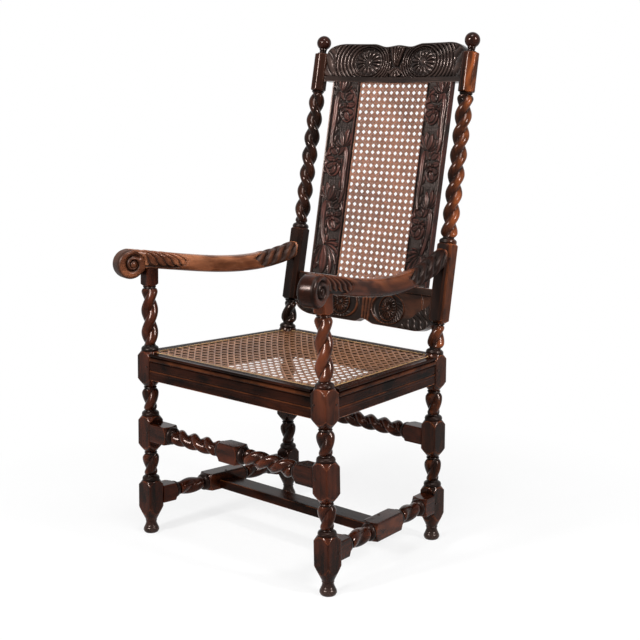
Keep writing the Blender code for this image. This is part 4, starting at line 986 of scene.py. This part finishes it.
def beside_scroll(out, along):
    """Place of a point measured in the scroll's own directions, out from its middle and along the arm."""
    x = scroll_x + out * math.cos(SCROLL_TURN) - along * math.sin(SCROLL_TURN)
    y = scroll_y + out * math.sin(SCROLL_TURN) + along * math.cos(SCROLL_TURN)
    return x, y


def arm_shell(side):
    """Rings of the arm from inside the scroll to the post, with its carving, grain, rubbed places and painted
    shade.
    """
    t = np.linspace(-0.024, 1, 330)[:, None]
    centre = arm_line(side, t)
    slope = np.gradient(centre, axis=0)
    pitch = np.arctan2(slope[:, 2], slope[:, 1])[:, None]
    pitch += (-RAKE - pitch) * eased((t - 0.9) / 0.1)
    length = np.concatenate([[0], np.cumsum(np.linalg.norm(np.diff(centre, axis=0), axis=1))])[:, None]
    to_post = length[-1] - length
    turn = np.linspace(0, 2 * math.pi, 100, endpoint=False)
    lift = np.degrees(np.arctan2(np.sin(turn), np.abs(np.cos(turn))))
    on_top = eased((lift + 62) / 20)
    rear_edge = 0.150 - 0.0006 * np.abs(lift - 20)
    rear_leaf = eased((rear_edge - to_post) / 0.005) * eased((to_post - 0.002) / 0.004) * on_top
    lobes = ridge(to_post / 0.0320 + lift / 110, 0.55)
    cut = (0.0072 * (1 - lobes) - 0.0008) * rear_leaf
    from_scroll = length - 0.024
    tip = 0.116 - 0.0005 * np.abs(lift - 8)
    hem = eased((lift + 12 + 14 * ridge(from_scroll / 0.024, 0.6)) / 5)
    front_leaf = eased(from_scroll / 0.006) * eased((tip - from_scroll) / 0.005) * on_top
    flutes = ridge(from_scroll / 0.0205 + lift / 39, 0.55)
    cut = cut + (0.0046 * (1 - flutes * hem) - 0.0008) * front_leaf
    for edge in (to_post - rear_edge, from_scroll - tip):
        cut = cut + 0.0012 * peak(edge - 0.0012, 0.0016) * on_top
    near = 1 - eased(length / 0.075)
    half_width = (ARM_WIDTH + (ARM_REAR_WIDTH - ARM_WIDTH) * eased(t)) / 2 - 0.0018 * near
    a, b = np.cos(turn), np.sin(turn)
    power = 0.62 - 0.26 * near
    shape_a, shape_b = np.sign(a) * np.abs(a) ** power, np.sign(b) * np.abs(b) ** power
    across = (half_width - cut) * shape_a
    up = (ARM_HEIGHT / 2 - cut) * shape_b + 0.0026 * near * np.maximum(0, shape_b)
    x, y, z = centre[:, :1] + across, centre[:, 1:2] - up * np.sin(pitch), centre[:, 2:] + up * np.cos(pitch)
    off_x, off_y = x - scroll_x, y - scroll_y
    out = off_x * math.cos(SCROLL_TURN) + off_y * math.sin(SCROLL_TURN)
    along = off_y * math.cos(SCROLL_TURN) - off_x * math.sin(SCROLL_TURN)
    away = np.hypot(along, z - scroll_z) / SCROLL_RADIUS
    room = scroll_half - 0.0095 + 0.02 * eased((away - 0.90) / 0.05) + np.maximum(0, away - 1)
    out = np.clip(out, -room, room)
    x, y = beside_scroll(out, along)
    carved = np.maximum(rear_leaf, front_leaf)
    # Carved leaves darker, the rear leaf most; the front leaf darker towards its lower side, painted shade
    # under the hem.
    shaded = 1.08 * rear_leaf + (0.15 + 0.45 * eased((15 - lift) / 30)) * front_leaf
    # Deeper cuts darker: grime and painted shade in the recesses.
    tint = np.clip(0.2 - cut / 0.0026, -0.98, 0.3) * carved - shaded
    # Plain arm rubbed lighter on top and painted in shade on its underside.
    bare = (1 - carved) * eased((lift + 20) / 60) * 0.60 - 0.35 * (1 - eased((lift + 75) / 45))
    return np.stack([side * x, y, z], 2), np.stack([length + 0 * across, across, up], 2), tint + bare


def scroll_shell(side):
    """Rings of the roll at the front of an arm, from face to face, each face cut with a spiral."""
    rounding = np.sin(np.linspace(0, math.pi / 2, 13)[1:])
    share = np.concatenate([np.linspace(0.02, 0.76, 46), 0.76 + 0.24 * rounding])[:, None]
    turn = np.linspace(0, 2 * math.pi, 120, endpoint=False)
    off_a, off_b = share * np.cos(turn) - 0.12, share * np.sin(turn)
    reach = np.hypot(off_a, off_b)
    wound = (np.arctan2(off_b, off_a) - math.radians(25)) % (2 * math.pi) / (2 * math.pi)
    rank = np.log(np.maximum(reach, 0.05) / 0.72) / math.log(0.46) - wound
    groove = (1 - np.abs(np.sin(math.pi * rank)) ** 0.7) * (rank > -0.5)
    groove = groove * np.where(rank < 0.5, eased(wound / 0.10), 1)
    eye = np.sqrt(np.clip(1 - (reach / 0.24) ** 2, 0, 1))
    depth = np.where(reach < 0.24, -0.0030 + 0.0050 * eye, -0.0066 * groove)
    round_off = np.clip((share - 0.76) / 0.24, 0, 1)
    from_arm = np.abs((turn - math.radians(30) + math.pi) % (2 * math.pi) - math.pi)
    joins = eased((math.radians(75) - from_arm) / 0.5)
    depth = depth - 0.0078 * (1 - np.sqrt(1 - round_off**2)) * (1 - joins)
    middle = np.linspace(1, -1, 22)[1:-1, None] * (scroll_half - 0.0078 * (1 - joins))
    crown = 1 + 0.020 * (1 - (middle / scroll_half) ** 2)
    out = np.concatenate([scroll_half + depth, middle, -scroll_half - depth[::-1]])
    radius = np.concatenate([share + 0 * turn, crown, share[::-1] + 0 * turn]) * SCROLL_RADIUS * 0.985
    # Spiral grooves painted darker with their depth as shade; the inner turns are darker in tone.
    face_tint = np.clip(depth / 0.0040 - 0.05 - 0.45 * eased((0.62 - reach) / 0.2), -0.9, 0.1)
    # The roll is painted darker towards its underside as shade, and darker on the left arm than on the right.
    shaded = -0.42 + 0.36 * side - 0.30 * eased(-np.sin(turn + 0.6))
    tint = np.concatenate([face_tint, 0 * middle + shaded, face_tint[::-1]])
    a, b = radius * np.cos(turn), radius * np.sin(turn)
    x, y = beside_scroll(out, a)
    return np.stack([side * x, y, scroll_z + b], 2), np.stack([a, out, b], 2), tint


for side, word in SIDES:
    dressed(f"scrolled_arm_{word}", [arm_shell(side), scroll_shell(side)], arm_finishes[side],
            [f"arm_{word}"], reach=7)

# Pegs. Riven oak pegs, driven into offset holes, draw each tenon tight; their heads stand a
# little proud of the blocks, no two alike.

PEG_RADIUS, PEG_SEED = 0.0031, 7
peg_nodes = sorted(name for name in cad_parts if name.startswith("peg_"))


def peg_tree():
    """Stands a slightly domed peg on each point, along the point's drive direction."""
    tree, given = new_tree("driven_pegs", Geometry="Geometry", Radius="Float", Seed="Int", Finish="Material")
    work = partial(worked, tree)
    length, drive = read(tree, "length"), read(tree, "drive", "FLOAT_VECTOR")
    rod = node(tree, "GeometryNodeMeshCylinder", {
        "Vertices": 14, "Side Segments": 1, "Fill Segments": 3, "Radius": given["Radius"], "Depth": 1.0},
        fill_type="TRIANGLE_FAN").outputs["Mesh"]
    here = made(tree, "GeometryNodeInputPosition")
    parts = node(tree, "ShaderNodeSeparateXYZ", {0: here}).outputs
    spread = work("ADD", work("POWER", parts["X"], 2.0), work("POWER", parts["Y"], 2.0))
    square = work("POWER", given["Radius"], 2.0)
    dome = work("MULTIPLY", work("SUBTRACT", 1.0, work("DIVIDE", spread, square)), 0.02)
    lifted = made(tree, "ShaderNodeCombineXYZ", {"Z": work("MULTIPLY", dome, work("SIGN", parts["Z"]))})
    rod = made(tree, "GeometryNodeSetPosition", {"Geometry": rod, "Offset": lifted})
    rod = made(tree, "GeometryNodeSetShadeSmooth", {"Geometry": rod, "Shade Smooth": True})
    limits = {2: 0.92, 3: 1.06, "Seed": given["Seed"]}
    thick = node(tree, "FunctionNodeRandomValue", limits, data_type="FLOAT").outputs[1]
    scale = made(tree, "ShaderNodeCombineXYZ", {"X": thick, "Y": thick, "Z": length})
    facing = made(tree, "FunctionNodeAlignRotationToVector", {"Vector": drive}, axis="Z")
    pegs = made(tree, "GeometryNodeInstanceOnPoints", {
        "Points": given["Geometry"], "Instance": rod, "Rotation": facing, "Scale": scale})
    return ended(tree, pegs, given["Finish"])


peg_oak, oak_tree, peg_shader = new_finish("peg_oak")
peg_place = node(oak_tree, "ShaderNodeTexCoord").outputs["Object"]
peg_rays = made(oak_tree, "ShaderNodeTexNoise", {"Vector": peg_place, "Scale": 420.0, "Detail": 3.0})
peg_colour = blended(oak_tree, peg_rays, (0.004, 0.002, 0.0012, 1.0), (0.030, 0.010, 0.005, 1.0))
oak_tree.links.new(peg_colour, peg_shader.inputs["Base Color"])
peg_shader.inputs["Roughness"].default_value = 0.42
peg_shader.inputs["Specular IOR Level"].default_value = 0.10
peg_points, peg_drives, peg_lengths = [], [], []
for name in peg_nodes:
    corners = np.array([vertex.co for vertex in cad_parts[name].data.vertices])
    middle = corners.mean(0)
    drive = np.linalg.svd(corners - middle)[2][0]
    peg_points.append(middle)
    peg_drives.append(drive)
    peg_lengths.append(np.ptp((corners - middle) @ drive) + 0.0004)
peg_mesh = bpy.data.meshes.new("peg_places")
peg_mesh.from_pydata(np.array(peg_points).tolist(), [], [])
marked(peg_mesh, "drive", peg_drives, "FLOAT_VECTOR")
marked(peg_mesh, "length", peg_lengths)
peg_object = linked("peg_places", peg_mesh)
peg_result = solved(peg_object, peg_tree(), {"Radius": PEG_RADIUS, "Seed": PEG_SEED, "Finish": peg_oak})
peg_result.name = "driven_oak_pegs"
placed_piece(peg_result, peg_oak, peg_nodes)

# Caned seat. Split rattan is woven six ways over the rabbet of the rails: pairs of strands each
# way, then a diagonal each way, which leave eight-sided gaps. Use has let it sag a little.

CANE_THICKNESS, CANE_SEED = 0.0007, 3
SEAT_STRAND, SEAT_DIAGONAL, SEAT_PAIR = 0.0036, 0.0040, 0.0042
SEAT_COLUMNS, SEAT_ROWS = 24, 21


def stored(tree, geometry, label, value, domain="POINT"):
    """Geometry that carries a value under a label."""
    given = {"Geometry": geometry, "Name": label, "Value": value}
    return made(tree, "GeometryNodeStoreNamedAttribute", given, data_type="FLOAT", domain=domain)


def cane_tree():
    """Weaves a flat panel of pairs and diagonals from its size and its number of gaps."""
    tree, given = new_tree(
        "six_way_cane", Width="Float", Height="Float", Strand_width="Float", Diagonal_width="Float",
        Strand_thickness="Float", Pair_space="Float", Columns="Int", Rows="Int", Seed="Int",
        Finish="Material")
    work = partial(worked, tree)
    wide, tall = given["Width"], given["Height"]
    pitch_x, pitch_y = work("DIVIDE", wide, given["Columns"]), work("DIVIDE", tall, given["Rows"])
    half_pair = work("MULTIPLY", given["Pair space"], 0.5)
    here = node(tree, "ShaderNodeSeparateXYZ", {0: made(tree, "GeometryNodeInputPosition")}).outputs
    section = made(tree, "GeometryNodeCurvePrimitiveCircle", {"Resolution": 6, "Radius": 0.5})
    # How far across the strand a point lies, used to paint shade along the strand's edges.
    beside = work("MULTIPLY", work("ABSOLUTE", here["X"]), 2.0)
    section = stored(tree, section, "rim", beside)

    def vector(x, y, z=0.0):
        return made(tree, "ShaderNodeCombineXYZ", {"X": x, "Y": y, "Z": z})

    def flattened(width):
        scale = vector(width, given["Strand thickness"], 1.0)
        return made(tree, "GeometryNodeTransform", {"Geometry": section, "Scale": scale})

    straight, slanted = flattened(given["Strand width"]), flattened(given["Diagonal width"])

    def strands(count, first, spacing, far, lift, seed, profile):
        """Row of strands from first, each running to far, raised by lift and clipped to the panel."""
        row = {"Count": count, "Start Location": first, "Offset": spacing}
        points = made(tree, "GeometryNodeMeshLine", row)
        line = made(tree, "GeometryNodeCurvePrimitiveLine", {"End": far})
        row = made(tree, "GeometryNodeInstanceOnPoints", {"Points": points, "Instance": line})
        row = made(tree, "GeometryNodeRealizeInstances", {0: row})
        draw = {"Seed": work("ADD", given["Seed"], seed)}
        shade = node(tree, "FunctionNodeRandomValue", draw, data_type="FLOAT").outputs[1]
        row = stored(tree, row, "strand", shade, "CURVE")
        step = work("MULTIPLY", pitch_y, 0.25)
        row = made(tree, "GeometryNodeResampleCurve", {"Curve": row, "Length": step}, mode="LENGTH")
        away = node(tree, "GeometryNodeSplineParameter").outputs["Length"]
        row = stored(tree, row, "along", away)
        edge = work("MULTIPLY", pitch_x, 0.02)
        outside = work("GREATER_THAN", work("SUBTRACT", here["X"], edge), wide)
        for test in (work("LESS_THAN", work("ADD", here["X"], edge), 0.0),
                     work("LESS_THAN", work("ADD", here["Y"], edge), 0.0),
                     work("GREATER_THAN", work("SUBTRACT", here["Y"], edge), tall)):
            outside = work("MAXIMUM", outside, test)
        cut = {"Geometry": row, "Selection": outside}
        row = made(tree, "GeometryNodeDeleteGeometry", cut, domain="POINT")
        row = made(tree, "GeometryNodeSetPosition", {"Geometry": row, "Offset": vector(0.0, 0.0, lift)})
        row = made(tree, "GeometryNodeSetCurveNormal", {"Curve": row}, mode="Z_UP")
        solid = {"Curve": row, "Profile Curve": profile, "Fill Caps": True}
        return made(tree, "GeometryNodeCurveToMesh", solid)

    def wave(sign, lines_x, lines_y):
        """Height of a strand that goes over and under those that it crosses."""
        phase = work("ADD", work("DIVIDE", here["X"], lines_x), work("DIVIDE", here["Y"], lines_y))
        swing = work("COSINE", work("MULTIPLY", phase, math.pi))
        return work("MULTIPLY", swing, work("MULTIPLY", given["Strand thickness"], sign * 0.4))

    columns, rows = work("ADD", given["Columns"], 1.0), work("ADD", given["Rows"], 1.0)
    families = []
    for k, sign in enumerate((-1.0, 1.0)):
        beside = work("MULTIPLY", half_pair, sign)
        up = wave(sign, pitch_x, pitch_y)
        families.append(strands(columns, vector(beside, 0.0), vector(pitch_x, 0.0), vector(0.0, tall), up, k,
                                straight))
        down = wave(-sign, pitch_x, pitch_y)
        families.append(strands(rows, vector(0.0, beside), vector(0.0, pitch_y), vector(wide, 0.0), down,
                                k + 2, straight))
    run = work("MULTIPLY", pitch_x, given["Rows"])
    slants = work("ADD", columns, given["Rows"])
    shift = work("MULTIPLY", pitch_x, 0.5)
    low = work("SUBTRACT", shift, run)
    weave = work("COSINE", work("MULTIPLY", work("DIVIDE", here["X"], pitch_x), 2 * math.pi))
    for k, (start, reach, sign) in enumerate(((low, run, 1.0), (shift, work("MULTIPLY", run, -1.0), -1.0))):
        sway = work("MULTIPLY_ADD", weave, sign * 0.4)
        sway.node.inputs[2].default_value = 0.6
        lift = work("MULTIPLY", sway, given["Strand thickness"])
        families.append(strands(slants, vector(start, 0.0), vector(pitch_x, 0.0), vector(reach, tall), lift,
                                k + 4, slanted))
    panel = node(tree, "GeometryNodeJoinGeometry")
    for family in families:
        tree.links.new(family, panel.inputs[0])
    return ended(tree, panel.outputs[0], given["Finish"])


def rattan(name, dark, pale):
    """Old split cane: glossy skin, fibres along each strand, no two strands alike, painted shade along its
    edges.
    """
    material, tree, shader = new_finish(name)
    work = partial(worked, tree)
    strand = node(tree, "ShaderNodeAttribute", attribute_name="strand").outputs["Fac"]
    along = node(tree, "ShaderNodeAttribute", attribute_name="along").outputs["Fac"]
    place = made(tree, "ShaderNodeCombineXYZ", {"X": work("MULTIPLY", along, 55.0),
                                                "Y": work("MULTIPLY", strand, 31.0)})
    mottle = made(tree, "ShaderNodeTexNoise", {"Vector": place, "Scale": 1.0, "Detail": 4.0})
    where = node(tree, "ShaderNodeTexCoord").outputs["Object"]
    stain = made(tree, "ShaderNodeTexNoise", {"Vector": where, "Scale": 9.0, "Detail": 3.0})
    share = work("MULTIPLY_ADD", strand, 0.35)
    tree.links.new(work("MULTIPLY", mottle, 0.65), share.node.inputs[2])
    colour = blended(tree, share, (*dark, 1.0), (*pale, 1.0))
    soiled = work("MULTIPLY", work("SUBTRACT", stain, 0.42), 1.6)
    soiled.node.use_clamp = True
    colour = blended(tree, soiled, colour, (*(0.45 * channel for channel in dark), 1.0))
    # Strands painted dark along their edges as shade round the gaps.
    rim = node(tree, "ShaderNodeAttribute", attribute_name="rim").outputs["Fac"]
    edge = made(tree, "ShaderNodeMapRange", {0: rim, 1: 0.50, 2: 0.85, 3: 0.0, 4: 0.92})
    colour = blended(tree, edge, colour, (*(0.20 * channel for channel in dark), 1.0))
    tree.links.new(colour, shader.inputs["Base Color"])
    shader.inputs["Specular IOR Level"].default_value = 0.20
    dull = work("MULTIPLY_ADD", mottle, 0.25)
    dull.node.inputs[2].default_value = 0.28
    tree.links.new(dull, shader.inputs["Roughness"])
    relief = node(tree, "ShaderNodeBump", {"Height": mottle, "Strength": 0.25, "Distance": 0.0004})
    tree.links.new(relief.outputs[0], shader.inputs["Normal"])
    return material


def caned_panel(name, cad_node, width, height, columns, rows, strand, diagonal, pair, finish, place):
    """Woven panel laid by place, which takes the share across, the place up and the height above the bed."""
    empty = linked(f"{name}_frame", bpy.data.meshes.new(f"{name}_frame"))
    mesh = solved(empty, six_way_cane, {
        "Width": width, "Height": height, "Columns": columns, "Rows": rows, "Seed": CANE_SEED,
        "Strand width": strand, "Diagonal width": diagonal, "Strand thickness": CANE_THICKNESS,
        "Pair space": pair, "Finish": finish})
    mesh.name = name
    flat = np.empty(len(mesh.vertices) * 3)
    mesh.vertices.foreach_get("co", flat)
    x, y, z = flat.reshape(-1, 3).T
    laid = np.stack(place(2 * x / width - 1, y, z), 1)
    mesh.vertices.foreach_set("co", laid.ravel())
    mesh.update()
    placed_piece(mesh, finish, [cad_node])


six_way_cane = cane_tree()
seat_rattan = rattan("seat_rattan", (0.110, 0.040, 0.016), (0.430, 0.200, 0.095))
SEAT_BORDER, SEAT_SAG = 0.0185, 0.006
seat_low, seat_high = rail_front - SEAT_BORDER, rail_rear + SEAT_BORDER
seat_half = leg_x(RAIL_TOP) - BLOCK / 2 + SEAT_BORDER
seat_rear_half = POST_INNER + SEAT_BORDER


def seat_point(share, y, z):
    """Point of the seat, which narrows towards the back and sags in its middle."""
    back = y / (seat_high - seat_low)
    half = seat_half + (seat_rear_half - seat_half) * back
    sag = SEAT_SAG * (1 - share**2) * np.clip(4 * back * (1 - back), 0, 1)
    return half * share, seat_low + y, RAIL_TOP - RABBET_DEPTH + CANE_THICKNESS + z - sag


caned_panel("woven_seat", "seat_cane", 2 * seat_half, seat_high - seat_low, SEAT_COLUMNS, SEAT_ROWS,
            SEAT_STRAND, SEAT_DIAGONAL, SEAT_PAIR, seat_rattan, seat_point)

# Seat binding. A wider strand of cane is laid over the holes along all four edges of the seat and
# held down by a loop at each hole; it has kept a paler, yellower colour than the weave.

BINDING_WIDTH, BINDING_THICKNESS, BINDING_LIFT, LOOP_PITCH = 0.0046, 0.0011, 0.0019, 0.0115
EDGE_POINTS = 60


def binding_tree():
    """Lays a flat strand along each line, with a thin loop over it at every hole."""
    tree, given = new_tree("cane_binding", Geometry="Geometry", Width="Float", Thickness="Float",
                           Loop_pitch="Float", Finish="Material")

    def flattened(points, wider, thicker):
        """Oval of the strand's section, somewhat larger for a loop around it."""
        oval = made(tree, "GeometryNodeCurvePrimitiveCircle", {"Resolution": points, "Radius": 0.5})
        sizes = {"X": worked(tree, "MULTIPLY", given["Width"], wider), "Z": 1.0,
                 "Y": worked(tree, "MULTIPLY", given["Thickness"], thicker)}
        scale = made(tree, "ShaderNodeCombineXYZ", sizes)
        return made(tree, "GeometryNodeTransform", {"Geometry": oval, "Scale": scale})

    line = made(tree, "GeometryNodeMeshToCurve", {0: given["Geometry"]})
    line = made(tree, "GeometryNodeSetCurveNormal", {"Curve": line}, mode="Z_UP")
    away = node(tree, "GeometryNodeSplineParameter").outputs["Length"]
    line = stored(tree, stored(tree, line, "along", away), "strand", 0.6)
    strand = made(tree, "GeometryNodeCurveToMesh", {
        "Curve": line, "Profile Curve": flattened(8, 1.0, 1.0), "Fill Caps": True})
    thread = made(tree, "GeometryNodeCurvePrimitiveCircle", {"Resolution": 5, "Radius": 0.0006})
    loop = made(tree, "GeometryNodeCurveToMesh", {
        "Curve": flattened(10, 1.12, 1.5), "Profile Curve": thread})
    spaced = {"Curve": line, "Length": given["Loop pitch"]}
    holes = node(tree, "GeometryNodeCurveToPoints", spaced, mode="LENGTH")
    loops = made(tree, "GeometryNodeInstanceOnPoints", {
        "Points": holes.outputs["Points"], "Instance": loop, "Rotation": holes.outputs["Rotation"]})
    both = node(tree, "GeometryNodeJoinGeometry")
    tree.links.new(strand, both.inputs[0])
    tree.links.new(loops, both.inputs[0])
    return ended(tree, both.outputs[0], given["Finish"])


binding_rattan = rattan("binding_rattan", (0.230, 0.120, 0.045), (0.560, 0.350, 0.160))
seat_deep = seat_high - seat_low
edge_inset = 0.5 * BINDING_WIDTH + 0.0006
edge_shares = np.linspace(-1, 1, EDGE_POINTS)
across_reach, along_reach = 1 - SEAT_BORDER / seat_half, 0.5 * seat_deep - SEAT_BORDER
level = np.ones(EDGE_POINTS)
edge_lines = []
for y in (edge_inset, seat_deep - edge_inset):
    edge_lines.append(np.stack(seat_point(across_reach * edge_shares, y * level, BINDING_LIFT), 1))
for side in (-1, 1):
    share = side * (1 - edge_inset / seat_half)
    places = 0.5 * seat_deep + along_reach * edge_shares
    edge_lines.append(np.stack(seat_point(share * level, places, BINDING_LIFT), 1))
binding_lines = bpy.data.meshes.new("binding_lines")
starts = [EDGE_POINTS * line + i for line in range(4) for i in range(EDGE_POINTS - 1)]
binding_links = [(start, start + 1) for start in starts]
binding_lines.from_pydata(np.concatenate(edge_lines).tolist(), binding_links, [])
binding_path = linked("binding_path", binding_lines)
binding = solved(binding_path, binding_tree(), {
    "Width": BINDING_WIDTH, "Thickness": BINDING_THICKNESS, "Loop pitch": LOOP_PITCH,
    "Finish": binding_rattan})
binding.name = "seat_binding"
placed_piece(binding, binding_rattan, [])

# Caned back. The same weave is stretched between the uprights and the two carved rails, and
# follows the hollow of the back.

back_rattan = rattan("back_rattan", (0.100, 0.035, 0.017), (0.450, 0.190, 0.108))
BACK_STRAND, BACK_DIAGONAL, BACK_PAIR, CANE_RECESS = 0.0031, 0.0041, 0.0034, 0.0072
BACK_COLUMNS, BACK_ROWS = 12, 30
back_low, back_high = 0.1431, 0.6306
back_half = OPENING / 2 + 0.0005
back_bed = BOARD_FACE - CANE_RECESS
caned_panel("woven_back", "back_cane", 2 * back_half, back_high - back_low, BACK_COLUMNS, BACK_ROWS,
            BACK_STRAND, BACK_DIAGONAL, BACK_PAIR, back_rattan,
            lambda share, y, z: on_bow(back_half * share, back_low + y, back_bed + CANE_THICKNESS + z))

# Studio. A plain white floor and background, a softbox to each side of the camera and one above,
# each with a card that only polish mirrors, and the camera where the photograph was taken.

CAMERA_AZIMUTH = math.radians(42.75)
CAMERA_PLACE = (2.0606, -2.1939, 1.0824)
FLOOR_RADIUS, FLOOR_POINTS = 9.0, 64


def seen_directly(tree):
    """1 for a ray from the camera or from a gloss, which finds plain white."""
    rays = node(tree, "ShaderNodeLightPath").outputs
    seen = worked(tree, "MAXIMUM", rays["Is Camera Ray"], rays["Is Glossy Ray"])
    return worked(tree, "MAXIMUM", seen, rays["Is Transmission Ray"])


floor_mesh = bpy.data.meshes.new("studio_floor")
floor_turn = np.linspace(0, 2 * math.pi, FLOOR_POINTS, endpoint=False)
floor_ring = [(FLOOR_RADIUS * math.cos(t), FLOOR_RADIUS * math.sin(t), -0.0005) for t in floor_turn]
floor_mesh.from_pydata(floor_ring, [], [list(range(FLOOR_POINTS))])
floor = linked("studio_floor", floor_mesh)
floor_white, floor_tree, floor_shader = new_finish("floor_white")
floor_shader.inputs["Base Color"].default_value = (0.88, 0.88, 0.88, 1.0)
floor_shader.inputs["Roughness"].default_value = 0.9
floor_shader.inputs["Specular IOR Level"].default_value = 0.0
seen = seen_directly(floor_tree)
floor_place = node(floor_tree, "ShaderNodeTexCoord").outputs["Object"]
away = node(floor_tree, "ShaderNodeVectorMath", {0: floor_place}, operation="LENGTH").outputs["Value"]
fade = made(floor_tree, "ShaderNodeMapRange", {0: away, 1: 0.35, 2: 1.1, 3: 0.80, 4: 1.0})
glow = made(floor_tree, "ShaderNodeEmission", {"Color": (1.0, 1.0, 1.0, 1.0), "Strength": 1.0})
floor_out = floor_tree.nodes["Material Output"]
floor_mix = node(floor_tree, "ShaderNodeMixShader", {
    0: worked(floor_tree, "MULTIPLY", seen, fade), 1: floor_shader.outputs[0], 2: glow})
floor_tree.links.new(floor_mix.outputs[0], floor_out.inputs["Surface"])
floor_mesh.materials.append(floor_white)

world = bpy.data.worlds.new("studio")
bpy.context.scene.world = world
world.use_nodes = True
world_tree = world.node_tree
ambient = world_tree.nodes["Background"]
ambient.inputs["Color"].default_value = (0.95, 0.97, 1.0, 1.0)
ambient.inputs["Strength"].default_value = 0.18
world_seen = seen_directly(world_tree)
white = made(world_tree, "ShaderNodeBackground", {"Color": (1.0, 1.0, 1.0, 1.0), "Strength": 1.0})
world_mix = node(world_tree, "ShaderNodeMixShader", {0: world_seen, 1: ambient.outputs[0], 2: white})
world_tree.links.new(world_mix.outputs[0], world_tree.nodes["World Output"].inputs["Surface"])

camera = linked("camera", bpy.data.cameras.new("camera"))
camera.data.sensor_width = 36.0
camera.data.lens = 73.8
camera.location = CAMERA_PLACE
camera.rotation_euler = (math.radians(79.43), 0.0, CAMERA_AZIMUTH)
bpy.context.scene.camera = camera


def softbox(name, azimuth, distance, height, size, power, sheen=False):
    """Soft lamp that faces the middle of the chair; a sheen card shows only in its gloss."""
    lamp = bpy.data.lights.new(name, "AREA")
    lamp.shape = "RECTANGLE"
    lamp.size, lamp.size_y = size
    lamp.energy = power
    thing = linked(name, lamp)
    turn = CAMERA_AZIMUTH + math.radians(azimuth)
    thing.location = (distance * math.sin(turn), -distance * math.cos(turn), height)
    fall = math.atan2(height - 0.6, distance)
    thing.rotation_euler = (math.pi / 2 - fall, 0.0, turn)
    thing.visible_diffuse = not sheen


softbox("left_softbox", -48, 2.3, 1.8, (0.30, 0.50), 62)
softbox("right_softbox", 52, 2.5, 1.9, (0.28, 0.48), 54)
softbox("left_sheen_card", -42, 2.2, 1.8, (0.55, 0.80), 110, sheen=True)
softbox("right_sheen_card", 54, 2.4, 1.9, (0.50, 0.80), 105, sheen=True)
softbox("top_softbox", 10, 0.7, 2.9, (0.7, 0.7), 34)
softbox("top_sheen_card", 10, 0.7, 2.9, (0.7, 0.7), 77, sheen=True)
bpy.context.scene.view_settings.view_transform = "Standard"
